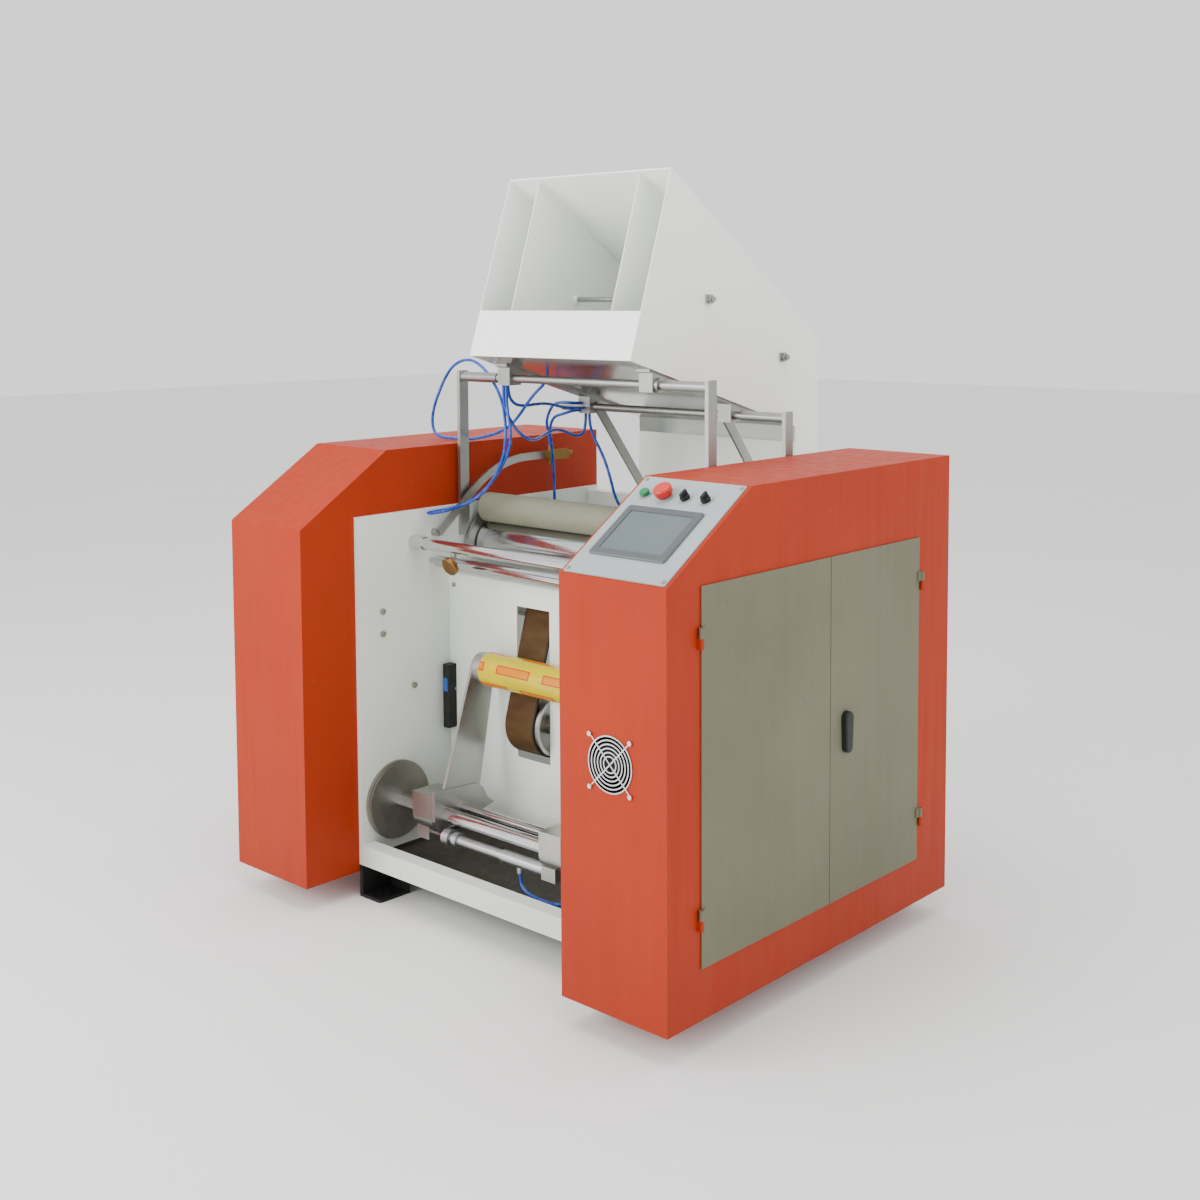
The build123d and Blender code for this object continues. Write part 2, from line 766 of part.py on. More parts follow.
# Controller, power supply and two contactors: start along the rail, width, height, depth.
devices = ((60, 150, 95, 75), (225, 60, 125, 100), (300, 45, 80, 85), (350, 45, 80, 85))
terminal_count = 20
terminal_pitch = 10
inverter_depth = 140
with BuildPart() as electrical_gear:
    block(gear_plate_x, gear_y, gear_z)
    for y in (gear_y[0] + 20, gear_y[1] - 20):
        for z in (gear_z[0] + 20, gear_z[1] - 20):
            round_x((cabinet_inner_x + sheet, gear_plate_x[0]), (y, z), 8)
    for rail_z in (low_rail_z, high_rail_z):
        block(rail_x, (gear_y[0] + 40, gear_y[1] - 40), (rail_z, rail_z + 35))
    for duct_z in (gear_z[0] + 240, gear_z[1] - 60):
        block(duct_x, (gear_y[0] + 30, gear_y[1] - 30), (duct_z, duct_z + 30))
    for start, width, height, depth in devices:
        device_y = (gear_y[0] + start, gear_y[0] + start + width)
        device_z = (high_rail_z + 17 - height / 2, high_rail_z + 17 + height / 2)
        block((rail_x[1], rail_x[1] + depth), device_y, device_z)
    for terminal in range(terminal_count):
        start = gear_y[0] + 60 + terminal_pitch * terminal
        terminal_z = (low_rail_z - 8, low_rail_z + 43)
        block((rail_x[1], rail_x[1] + 40), (start, start + terminal_pitch - 1), terminal_z)
    # The inverter stands on the plate itself.
    inverter_y = (gear_y[1] - 260, gear_y[1] - 120)
    inverter_z = (gear_z[0] + 290, gear_z[0] + 480)
    block((gear_plate_x[1], gear_plate_x[1] + inverter_depth), inverter_y, inverter_z)
finish(electrical_gear.part, "electrical_gear")

# --- Hopper ----------------------------------------------------------------------------

side_outline = [
    (hopper_front_low_y, hopper_front_low_z),
    (duct_front_y, floor_z(duct_front_y)),
    (duct_front_y, duct_bottom),
    (hopper_rear_y, duct_bottom),
    (hopper_rear_y, roof_z(hopper_rear_y)),
    (hopper_front_top_y, hopper_front_top_z),
]
hopper_x = (-hopper_side_x, hopper_side_x)
inside_x = (-hopper_side_x + sheet, hopper_side_x - sheet)
lip_top = hopper_front_low_z + lip_rise
wall = sheet / cos(atan2(roof_slope, 1))
with BuildPart() as hopper_body:
    outline_x(hopper_x, side_outline)
    # Chute and duct, open below the floor line and at the duct's foot.
    chute = [
        (hopper_front_low_y + sheet, hopper_front_low_z),
        (hopper_front_low_y + sheet, hopper_front_low_z - 40),
        (duct_front_y + sheet, floor_z(duct_front_y) - 40),
        (duct_front_y + sheet, duct_bottom - 1),
        (hopper_rear_y - sheet, duct_bottom - 1),
        (hopper_rear_y - sheet, roof_z(hopper_rear_y - sheet) - wall),
        (front_y(hopper_front_top_z - wall) - 1, hopper_front_top_z - wall),
        (front_y(lip_top) - 1, lip_top),
        (front_y(lip_top) + sheet, lip_top),
    ]
    outline_x(inside_x, chute, mode=Mode.SUBTRACT)
    # The duct's front wall stops at the floor, which the stainless plate makes.
    for centre in divider_rods:
        round_x(hopper_x, centre, divider_rod_radius, mode=Mode.SUBTRACT)
finish(hopper_body.part, "hopper_body")

with BuildPart() as hopper_floor:
    floor_rise = sheet / cos(radians(floor_angle))
    floor_start_y = hopper_front_low_y + 2 * sheet
    floor_corners = [
        (floor_start_y, floor_z(floor_start_y)),
        (duct_front_y, floor_z(duct_front_y)),
        (duct_front_y, floor_z(duct_front_y) + floor_rise),
        (floor_start_y, floor_z(floor_start_y) + floor_rise),
    ]
    outline_x(inside_x, floor_corners)
finish(hopper_floor.part, "hopper_floor")

# Width guides hang on the two cross rods and stay clear of roof, floor and front.
for name, side in (("divider_left", -1), ("divider_right", 1)):
    with BuildPart() as divider:
        low_y = front_y(lip_top) + sheet + divider_margin
        top_y = hopper_front_top_y + divider_margin
        back_y = duct_front_y - divider_margin
        margin = wall + divider_margin
        low_z = floor_rise + divider_margin
        guide_x = sorted((side * divider_spacing / 2, side * (divider_spacing / 2 + divider_sheet)))
        corners = [
            (low_y - 30, floor_z(low_y - 30) + low_z),
            (back_y, floor_z(back_y) + low_z),
            (back_y, roof_z(back_y) - margin),
            (top_y, roof_z(top_y) - margin),
        ]
        outline_x(guide_x, corners)
        # A folded front edge, and a sleeve on each rod.
        for centre in divider_rods:
            sleeve_x = sorted((guide_x[0] - 8, guide_x[1] + 8))
            round_x(sleeve_x, centre, divider_rod_radius + 4)
            round_x(sleeve_x, centre, divider_rod_radius + running_fit, mode=Mode.SUBTRACT)
    finish(divider.part, name)

# --- Hopper supports -------------------------------------------------------------------

post_x = (plate_inner_x - post_thickness, plate_inner_x)
half_post = post_width / 2
with BuildPart() as hopper_supports:
    for x in both_ways(post_x):
        post_z = (post_foot_z, front_rod[1] + post_top_rise)
        block(x, (front_rod_y - half_post, front_rod_y + half_post), post_z)
    post_z = (post_foot_z, rear_rod[1] + post_top_rise)
    block(post_x, (rear_rod_y - half_post, rear_rod_y + half_post), post_z)
    # Struts run from the rear mounts down to the upper tie.
    strut_top = (rear_rod_y + 10, rear_rod[1])
    strut_foot = (rear_beam_y[0] + beam_depth / 2, upper_tie_z[1])
    strut_inner_x = mount_x - mount_width / 2
    for x in both_ways((strut_inner_x - strut_thickness, strut_inner_x)):
        hull_x(x, [(strut_top, strut_width / 2)], [
            (strut_foot[0] - strut_width / 2, strut_foot[1]),
            (strut_foot[0] + strut_width / 2, strut_foot[1]),
            (strut_foot[0] + strut_width / 2, strut_foot[1] + 8),
            (strut_foot[0] - strut_width / 2, strut_foot[1] + 8),
        ])
        round_x(x, rear_rod, rod_radius, mode=Mode.SUBTRACT)
finish(hopper_supports.part, "hopper_supports")

rod_x = (-post_x[0], post_x[0])
with BuildPart() as hopper_rods:
    round_x(rod_x, front_rod, rod_radius)
    round_x((rear_rod_left_x, post_x[0]), rear_rod, rod_radius)
    sleeve_start = mount_x + mount_width / 2 + 20
    for x in both_ways((sleeve_start, post_x[0])):
        round_x(x, front_rod, sleeve_radius)
    round_x((sleeve_start, post_x[0]), rear_rod, sleeve_radius)
    round_x((rear_rod_left_x, -mount_x - mount_width / 2), rear_rod, sleeve_radius)
    for x in both_ways((mount_x + mount_width / 2, mount_x + mount_width / 2 + 10)):
        round_x(x, front_rod, sleeve_radius + 4)
    # Cross rods for the width guides, with a square tab and a bolt at each end.
    for centre in divider_rods:
        reach = hopper_side_x + divider_rod_stand
        round_x((-reach, reach), centre, divider_rod_radius)
        for x in both_ways((hopper_side_x, hopper_side_x + tab_thickness)):
            half_tab = tab_size / 2
            tab_y = (centre[0] - half_tab, centre[0] + half_tab)
            block(x, tab_y, (centre[1] - half_tab, centre[1] + half_tab))
        for x in both_ways((hopper_side_x + tab_thickness, hopper_side_x + tab_thickness + 8)):
            round_x(x, centre, divider_rod_radius + 3)
finish(hopper_rods.part, "hopper_rods")

# Rails along the floor's underside carry the clamp blocks that sit on the rods.
with BuildPart() as hopper_mounts:
    mount_span = (mount_x - mount_width / 2, mount_x + mount_width / 2)
    rail_y = (front_rod_y - mount_rail_margin, rear_rod_y + 5 * mount_rail_margin)
    for x in both_ways(mount_span):
        outline_x(x, [
            (rail_y[0], floor_z(rail_y[0])),
            (rail_y[1], floor_z(rail_y[1])),
            (rail_y[1], floor_z(rail_y[1]) - mount_rail_thickness),
            (rail_y[0], floor_z(rail_y[0]) - mount_rail_thickness),
        ])
        for rod in (front_rod, rear_rod):
            mount_y = (rod[0] - mount_half_depth, rod[0] + mount_half_depth)
            outline_x(x, [
                (mount_y[0], rod[1] - 16),
                (mount_y[1], rod[1] - 16),
                (mount_y[1], floor_z(mount_y[1]) - mount_rail_thickness / 2),
                (mount_y[0], floor_z(mount_y[0]) - mount_rail_thickness / 2),
            ])
            round_x(x, rod, rod_radius, mode=Mode.SUBTRACT)
finish(hopper_mounts.part, "hopper_mounts")

# --- Rollers and bars ------------------------------------------------------------------

roller_x = (-roller_length / 2, roller_length / 2)
journal_x = (-cabinet_inner_x, cabinet_inner_x)
roller_pulley_x = (
    -cabinet_inner_x - sheet - timing_belt_gap - 2 * timing_belt_width - timing_belt_gap,
    -cabinet_inner_x - sheet - timing_belt_gap - timing_belt_width - timing_belt_gap,
)
surface_pulley_x = (
    -cabinet_inner_x - sheet - timing_belt_gap - timing_belt_width,
    -cabinet_inner_x - sheet - timing_belt_gap,
)

with BuildPart() as chrome_roller_part:
    round_x(roller_x, chrome_roller, chrome_roller_radius)
    chamfer(chrome_roller_part.edges().filter_by(GeomType.CIRCLE), length=2)
    round_x((roller_pulley_x[0] - 6, journal_x[1]), chrome_roller, chrome_shaft_radius)
    round_x(roller_pulley_x, chrome_roller, roller_pulley_radius)
finish(chrome_roller_part.part, "chrome_roller")

nip_arm_x = (roller_length / 2 + nip_arm_gap, roller_length / 2 + nip_arm_gap + nip_arm_thickness)
with BuildPart() as rubber_roller_part:
    round_x(roller_x, rubber_roller, rubber_roller_radius)
    chamfer(rubber_roller_part.edges().filter_by(GeomType.CIRCLE), length=2)
    round_x((-nip_arm_x[1], nip_arm_x[1]), rubber_roller, rubber_shaft_radius)
finish(rubber_roller_part.part, "rubber_roller")

with BuildPart() as nip_arms:
    for x in both_ways(nip_arm_x):
        hull_x(x, [(nip_pivot, 17), (rubber_roller, 24)])
        round_x(x, rubber_roller, rubber_shaft_radius + running_fit, mode=Mode.SUBTRACT)
    for x in both_ways((nip_arm_x[0], journal_x[1])):
        round_x(x, nip_pivot, nip_pivot_radius)
finish(nip_arms.part, "nip_arms")

with BuildPart() as guide_roller_part:
    round_x(roller_x, guide_roller, guide_roller_radius)
    chamfer(guide_roller_part.edges().filter_by(GeomType.CIRCLE), length=1)
    round_x(journal_x, guide_roller, guide_shaft_radius)
finish(guide_roller_part.part, "guide_roller")

with BuildPart() as front_guide_bar:
    round_x(between_plates, guide_bar, guide_bar_radius)
    for x in both_ways((plate_inner_x - guide_collar_length, plate_inner_x)):
        round_x(x, guide_bar, guide_collar_radius)
    # Two set screws in each collar.
    for x in (plate_inner_x - 12, plate_inner_x - 32):
        for side in (-1, 1):
            screw_z = (guide_bar_z + guide_collar_radius - 5, guide_bar_z + guide_collar_radius)
            round_z(screw_z, (side * x, guide_bar_y), 3, mode=Mode.SUBTRACT)
finish(front_guide_bar.part, "front_guide_bar")

# --- Belt that drives the film roll -----------------------------------------------------

belt_x = (belt_centre_x - belt_width / 2, belt_centre_x + belt_width / 2)
with BuildPart() as surface_belt:
    hull_x(belt_x, [(belt_wheel, wheel_outer_radius), (belt_idler, idler_outer_radius)])
    inner = [(belt_wheel, belt_wheel_radius + gap), (belt_idler, belt_idler_radius + gap)]
    hull_x(belt_x, inner, mode=Mode.SUBTRACT)
finish(surface_belt.part, "surface_belt")

with BuildPart() as belt_roller_upper:
    round_x(belt_x, belt_idler, belt_idler_radius)
    round_x(journal_x, belt_idler, belt_shaft_radius)
finish(belt_roller_upper.part, "belt_roller_upper")

# The wheel is a rim on a web, wider than the belt, and open between web and rim.
wheel_x = (belt_x[0], belt_x[1] + belt_wheel_overhang)
with BuildPart() as belt_roller_lower:
    round_x(wheel_x, belt_wheel, belt_wheel_radius)
    dish_x = (wheel_x[1] - belt_wheel_dish, wheel_x[1])
    round_x(dish_x, belt_wheel, belt_wheel_radius - belt_wheel_rim, mode=Mode.SUBTRACT)
    round_x(dish_x, belt_wheel, belt_wheel_hub)
    round_x((surface_pulley_x[0] - 6, journal_x[1]), belt_wheel, belt_shaft_radius)
    round_x(surface_pulley_x, belt_wheel, belt_pulley_radius)
finish(belt_roller_lower.part, "belt_roller_lower")

# --- Drive in the left cabinet ----------------------------------------------------------

motor_face_x = roller_pulley_x[0] - motor_pulley_wall
with BuildPart() as drive_motor:
    motor_x = (motor_face_x - motor_length, motor_face_x)
    round_x(motor_x, motor_axis, motor_radius)
    fillet(drive_motor.edges().filter_by(GeomType.CIRCLE).sort_by(Axis.X)[0], radius=10)
    round_x((motor_face_x - 14, motor_face_x), motor_axis, motor_radius + 12)
    # Its foot stands on the cabinet's floor.
    foot_x = (motor_x[0] + 30, motor_x[1] - 30)
    foot_y = (motor_y - motor_radius, motor_y + motor_radius)
    block(foot_x, foot_y, (cabinet_bottom + sheet, motor_z - motor_radius + 12))
    box_z = (motor_z + motor_radius - 10, motor_z + motor_radius + 45)
    block((motor_x[0] + 40, motor_x[0] + 120), (motor_y - 40, motor_y + 40), box_z)
    round_x((motor_face_x - 14, motor_face_x), motor_axis, motor_shaft_radius + running_fit,
            mode=Mode.SUBTRACT)
finish(drive_motor.part, "drive_motor")

with BuildPart() as motor_pulley:
    round_x((motor_face_x - 12, surface_pulley_x[1] + 4), motor_axis, motor_shaft_radius)
    for x in (roller_pulley_x, surface_pulley_x):
        round_x(x, motor_axis, motor_pulley_radius)
finish(motor_pulley.part, "motor_pulley")

with BuildPart() as drive_belts:
    for x, axis, radius in (
        (roller_pulley_x, chrome_roller, roller_pulley_radius),
        (surface_pulley_x, belt_wheel, belt_pulley_radius),
    ):
        outer = gap + timing_belt_thickness
        hull_x(x, [(motor_axis, motor_pulley_radius + outer), (axis, radius + outer)])
        inner = [(motor_axis, motor_pulley_radius + gap), (axis, radius + gap)]
        hull_x(x, inner, mode=Mode.SUBTRACT)
finish(drive_belts.part, "drive_belts")

# --- Swing shaft, carriages and film roll -----------------------------------------------

with BuildPart() as shaft_flanges:
    for side in (-1, 1):
        base_x = sorted((side * plate_inner_x, side * (plate_inner_x - flange_thickness)))
        disc_face = plate_inner_x - flange_thickness - disc_thickness
        disc_x = sorted((side * (plate_inner_x - flange_thickness), side * disc_face))
        round_x(base_x, swing_axis, flange_radius)
        round_x(disc_x, swing_axis, disc_radius)
        hole = swing_shaft_radius + running_fit
        round_x(sorted((base_x[0], disc_x[0])) if side > 0 else (base_x[0], disc_x[1]),
                swing_axis, hole, mode=Mode.SUBTRACT)
        if side > 0:
            round_x((disc_x[0], base_x[1]), swing_axis, hole, mode=Mode.SUBTRACT)
finish(shaft_flanges.part, "shaft_flanges")

with BuildPart() as swing_shaft:
    shaft_end = plate_inner_x - gap
    round_x((-shaft_end, shaft_end), swing_axis, swing_shaft_radius)
    round_x(journal_x, swing_axis, swing_journal_radius)
finish(swing_shaft.part, "swing_shaft")


def carriage(bracket_x, arm_x, rail_hole, lug_start):
    """A clamp block on the swing shaft, with its bracket plate, arm and cylinder lug."""
    block_x = (bracket_x[0] - carriage_length, bracket_x[0])
    round_x(block_x, swing_axis, carriage_boss_radius)
    head_y = (swing_y - carriage_boss_radius, swing_y + carriage_boss_radius)
    block(block_x, head_y, (swing_z, swing_z + carriage_head))
    outline_x(bracket_x, [
        (swing_y - 38, swing_z + 66),
        (swing_y + 103, swing_z + 55),
        (swing_y + 123, swing_z + 38),
        (swing_y + 134, swing_z + 14),
        (swing_y + 158, swing_z - 6),
        (swing_y + 101, swing_z - 19),
        (swing_y - 18, swing_z - 36),
        (swing_y - 38, swing_z - 10),
    ])
    # The arm narrows from the bracket to the eye that holds the chuck.
    arm_foot = [(swing_y - 11, swing_z + 40), (swing_y + 112, swing_z + 40)]
    hull_x(arm_x, [(roll_axis, arm_eye_radius)], arm_foot + [(swing_y + 50, swing_z + 30)])
    lug_x = (block_x[0] + lug_start, block_x[0] + lug_start + lug_length)
    lug_y = (cylinder_axis[0] - lug_width / 2, cylinder_axis[0] + lug_width / 2)
    lug_z = (cylinder_axis[1] - lug_height / 2, cylinder_axis[1] + lug_height / 2)
    block(lug_x, lug_y, lug_z)
    through = (block_x[0], bracket_x[1])
    round_x(through, swing_axis, swing_shaft_radius + running_fit, mode=Mode.SUBTRACT)
    round_x(through, rail_axis, rail_hole, mode=Mode.SUBTRACT)
    round_x(arm_x, roll_axis, chuck_shaft_radius + running_fit, mode=Mode.SUBTRACT)
    return lug_x


with BuildPart() as left_carriage:
    left_lug = carriage(left_bracket, left_arm, rail_radius, 7)
    round_x(left_lug, cylinder_axis, cylinder_rod_radius, mode=Mode.SUBTRACT)
finish(left_carriage.part, "left_carriage")

# The connector block behind the right bracket takes the far end of the air tube.
connector_x = (right_bracket[1], right_bracket[1] + 34)
connector_y = (swing_y - 32, swing_y - 4)
connector_z = (swing_z - 62, swing_z - 34)
with BuildPart() as right_carriage:
    right_lug = carriage(right_bracket, right_arm, rail_radius + running_fit, 0)
    block((right_bracket[0], connector_x[0]), connector_y, (connector_z[0], swing_z))
    block(connector_x, connector_y, connector_z)
    round_x((right_bracket[0], right_bracket[1]), swing_axis, swing_shaft_radius + running_fit,
            mode=Mode.SUBTRACT)
finish(right_carriage.part, "right_carriage")

rod_start_x = left_lug[0]
rod_face_x = left_lug[1]
barrel_start_x = rod_face_x + cylinder_exposed_rod
cap_start_x = right_lug[0] - cylinder_cap_length
piston_x = (barrel_start_x + 120, barrel_start_x + 130)
with BuildPart() as carriage_rods:
    rail_x = (left_bracket[0] - carriage_length, right_bracket[1] + 90)
    round_x(rail_x, rail_axis, rail_radius)
    round_x((rod_start_x, piston_x[1]), cylinder_axis, cylinder_rod_radius)
    round_x(piston_x, cylinder_axis, cylinder_bore_radius - running_fit)
finish(carriage_rods.part, "carriage_rods")

fitting_x = cap_start_x + 55
with BuildPart() as grip_cylinder:
    round_x((barrel_start_x, right_lug[0]), cylinder_axis, cylinder_radius)
    round_x((cap_start_x, right_lug[0]), cylinder_axis, cylinder_cap_radius)
    round_x((barrel_start_x, barrel_start_x + 22), cylinder_axis, cylinder_nut_radius)
    round_x((barrel_start_x + 34, barrel_start_x + 48), cylinder_axis, cylinder_nut_radius - 2)
    # Elbow fitting for the air tube.
    fitting_z = (cylinder_axis[1] - cylinder_cap_radius - 12, cylinder_axis[1])
    round_z(fitting_z, (fitting_x, cylinder_axis[0]), 8)
    bore_x = (barrel_start_x + 8, cap_start_x - 6)
    round_x(bore_x, cylinder_axis, cylinder_bore_radius, mode=Mode.SUBTRACT)
    rod_hole = cylinder_rod_radius + running_fit
    round_x((barrel_start_x, bore_x[0]), cylinder_axis, rod_hole, mode=Mode.SUBTRACT)
finish(grip_cylinder.part, "grip_cylinder")

with BuildPart() as left_chuck:
    flange_x = (film_left_x - chuck_flange_length, film_left_x)
    round_x(flange_x, roll_axis, chuck_flange_radius)
    shaft_x = (flange_x[0] - chuck_shaft_length, flange_x[0])
    round_x(shaft_x, roll_axis, chuck_shaft_radius)
    nose_x = (film_left_x, film_left_x + chuck_nose_length)
    round_x(nose_x, roll_axis, core_bore_radius)
finish(left_chuck.part, "left_chuck")

with BuildPart() as right_chuck:
    flange_x = (film_right_x + gap, film_right_x + chuck_flange_length)
    round_x(flange_x, roll_axis, chuck_flange_radius)
    shaft_x = (flange_x[1], flange_x[1] + chuck_shaft_length)
    round_x(shaft_x, roll_axis, chuck_shaft_radius)
    nose_x = (film_right_x - chuck_nose_length, film_right_x + gap)
    round_x(nose_x, roll_axis, core_bore_radius - running_fit)
finish(right_chuck.part, "right_chuck")

with BuildPart() as film_roll:
    film_x = (film_left_x, film_right_x)
    round_x(film_x, roll_axis, film_radius)
    round_x(film_x, roll_axis, core_bore_radius, mode=Mode.SUBTRACT)
finish(film_roll.part, "film_roll")

# --- Bent arm, manifold and sensor ------------------------------------------------------

bent_foot = (-185, 878)
bent_knee = (20, 1045)
bent_tip = (225, 1046)
bent_radius = 300
with BuildPart() as bent_arm:
    with BuildSketch(Plane.YZ.offset(bent_arm_x)) as bent_shape:
        with BuildLine():
            FilletPolyline(bent_foot, bent_knee, bent_tip, radius=bent_radius)
        trace(line_width=bent_arm_width)
    extrude(amount=bent_arm_thickness)
    round_x((-plate_inner_x, bent_arm_x), bent_foot, bent_arm_width / 2)
finish(bent_arm.part, "bent_arm")

# The manifold hangs on the arm's tip; the valve block is on the left side plate.
manifold_y = (bent_tip[0] - 30, bent_tip[0] + manifold_length - 30)
manifold_x = (bent_arm_x + bent_arm_thickness, bent_arm_x + bent_arm_thickness + 14)
post_centre = (manifold_x[0] + 7, manifold_y[0] + 12)
manifold_post_z = (bent_tip[1] - 26, bent_tip[1] + 24)
valve_y = (valve_centre_y - valve_length / 2, valve_centre_y + valve_length / 2)
valve_top = plate_top - 40
valve_x = (-plate_inner_x, -plate_inner_x + valve_depth)
with BuildPart() as air_blocks:
    block(manifold_x, manifold_y, (bent_tip[1] - 14, bent_tip[1] + 12))
    round_z(manifold_post_z, post_centre, 7)
    round_y((manifold_y[1], manifold_y[1] + 16), (manifold_x[0] + 7, bent_tip[1]), 6)
    block(valve_x, valve_y, (valve_top - valve_height, valve_top))
finish(air_blocks.part, "air_blocks")

sensor_x = (-plate_inner_x + 2, -plate_inner_x + 24)
sensor_y = (panel_front_y - 28, panel_front_y)
sensor_z = (370, 534)
with BuildPart() as web_sensor:
    block(sensor_x, sensor_y, sensor_z)
    fillet(web_sensor.edges().filter_by(Axis.Z).group_by(Axis.Y)[0], radius=3)
finish(web_sensor.part, "web_sensor")

# --- Air tubes --------------------------------------------------------------------------

tube_radius = 4


def tube(name, points):
    """An air tube through points, its bends as wide as its runs allow."""
    path = [Vector(*point) for point in points]
    radii = []
    for before, here, after in zip(path, path[1:], path[2:]):
        turn = radians((here - before).get_angle(after - here))
        shorter = min((here - before).length, (after - here).length)
        radii.append(0.45 * shorter / tan(turn / 2))
    with BuildPart() as hose:
        with BuildLine() as route:
            FilletPolyline(*path, radius=radii)
        wire = route.wire()
        with BuildSketch(Plane(origin=wire @ 0, z_dir=wire % 0)) as section:
            Circle(tube_radius)
        sweep(section.sketch, path=wire)
    expected = pi * tube_radius**2 * wire.length
    ratio = round(hose.part.volume / expected, 4)
    print(name, "radii", [round(r) for r in radii], "length", round(wire.length), "ratio", ratio)
    finish(hose.part, name)


front_mount_low = front_rod[1] - 16
rear_mount_low = rear_rod[1] - 16
rear_mount_face = rear_rod_y - mount_half_depth
floor_lean = radians(floor_angle)
loop_end_y = -16
tube("loop_tube", [
    (-236, front_rod_y - 8, front_mount_low),
    (-236, front_rod_y - 8, front_mount_low - 24),
    (-228, -97, 1186),
    (-215, -100, 1149),
    (-214, -101, 1111),
    (-227, -102, 1076),
    (-249, -103, 1042),
    (-280, -104, 1006),
    (-318, -108, 974),
    (-353, -116, 950),
    (-381, -136, 938),
    (-400, -168, 932),
    # A tight fold at the left end, then back up beside itself.
    (-404, -203, 930),
    (-393, -220, 931),
    (-376, -226, 932),
    (-358, -220, 935),
    (-347, -204, 938),
    (-344, -174, 943),
    (-339, -144, 949),
    (-320, -124, 962),
    (-296, -113, 985),
    (-268, -110, 1015),
    (-245, -109, 1049),
    (-229, -108, 1087),
    (-226, -106, 1126),
    (-235, -98, 1160),
    (-255, -84, 1192),
    # Behind the front rod, round the wide loop and back behind the post.
    (-280, -72, 1223),
    (-306, -66, 1251),
    (-333, -65, 1279),
    (-364, -66, 1302),
    (-401, -65, 1312),
    (-440, -62, 1306),
    (-474, -59, 1290),
    (-505, -56, 1260),
    (-530, -54, 1223),
    (-553, -52, 1184),
    (-565, -50, 1146),
    (-559, -48, 1112),
    (-531, -46, 1102),
    (-490, -45, 1102),
    (-447, -46, 1102),
    (-404, -45, 1105),
    (-357, -45, 1115),
    (-310, -46, 1128),
    (-271, -44, 1147),
    (-240, -42, 1176),
    (-216, -38, 1207),
    (-193, -30, 1235),
    (-170, loop_end_y - 22 * sin(floor_lean), floor_z(loop_end_y) - 22 * cos(floor_lean)),
    (-170, loop_end_y, floor_z(loop_end_y)),
])
tube("sag_tube", [
    (-246, front_rod_y - 8, front_mount_low),
    (-246, front_rod_y - 8, front_mount_low - 26),
    (-241, -92, 1190),
    (-224, -88, 1160),
    (-210, -76, 1133),
    (-205, -48, 1115),
    (-215, -12, 1111),
    (-234, 26, 1114),
    (-250, 66, 1122),
    (-259, 106, 1128),
    (-259, 142, 1120),
    (-253, 174, 1105),
    (-249, 201, 1108),
    (-246, rear_rod_y + 2, rear_mount_low - 26),
    (-246, rear_rod_y + 2, rear_mount_low),
])
tube("cross_tube", [
    (-246, front_rod_y + 8, front_mount_low),
    (-246, front_rod_y + 8, front_mount_low - 26),
    (-243, -58, 1201),
    (-234, -28, 1197),
    (-232, 8, 1200),
    (-236, 48, 1199),
    (-241, 88, 1192),
    (-241, 126, 1182),
    (-232, rear_mount_face - 30, 1180),
    (-232, rear_mount_face, 1180),
])
tube("rear_tube_a", [
    (-247, rear_mount_face, 1174),
    (-247, rear_mount_face - 26, 1174),
    (-269, 145, 1165),
    (-296, 141, 1158),
    (-322, 154, 1140),
    (-345, 172, 1114),
    (-357, 190, 1079),
    (-364, 202, 1040),
    (-367, 209, 1000),
    (-368, 211, 957),
    (-366, 210, valve_top + 26),
    (-366, 210, valve_top),
])
tube("rear_tube_b", [
    (-240, rear_mount_face, 1193),
    (-240, rear_mount_face - 26, 1193),
    (-261, 148, 1195),
    (-290, 147, 1194),
    (-320, 158, 1185),
    (-353, 175, 1160),
    (-375, 189, 1131),
    (post_centre[0], post_centre[1], manifold_post_z[1] + 28),
    (post_centre[0], post_centre[1], manifold_post_z[1]),
])
tube("side_tube", [
    (-222, rear_rod_y - 10, rear_mount_low),
    (-222, rear_rod_y - 10, rear_mount_low - 24),
    (-219, 205, 1106),
    (-198, 208, 1074),
    (-179, 211, 1037),
    (-165, 214, 995),
    (-159, 222, 952),
    (-161, 246, 918),
    (-165, 284, 900),
    (-169, 326, 892),
    (-164, rear_beam_y[0] - 28, 904),
    (-164, rear_beam_y[0], 904),
])
fitting_low = cylinder_axis[1] - cylinder_cap_radius - 12
connector_end = (connector_x[0] + 17, (connector_y[0] + connector_y[1]) / 2)
tube("cylinder_tube", [
    (fitting_x, cylinder_axis[0], fitting_low),
    (fitting_x, cylinder_axis[0], fitting_low - 20),
    (fitting_x + 18, -341, 114),
    (fitting_x + 46, -342, 107),
    (fitting_x + 82, -344, 106),
    (fitting_x + 118, -344, 108),
    (fitting_x + 146, -343, 114),
    (connector_end[0] - 14, connector_end[1], 125),
    (connector_end[0], connector_end[1], 140),
    (connector_end[0], connector_end[1], connector_z[0]),
])

os.makedirs("parts", exist_ok=True)
for part in finished:
    export_step(part, f"parts/{part.label}.step")
print(len(finished), "parts")
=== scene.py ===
from math import cos, pi, radians, sin

import bpy
from mathutils import Matrix, Vector


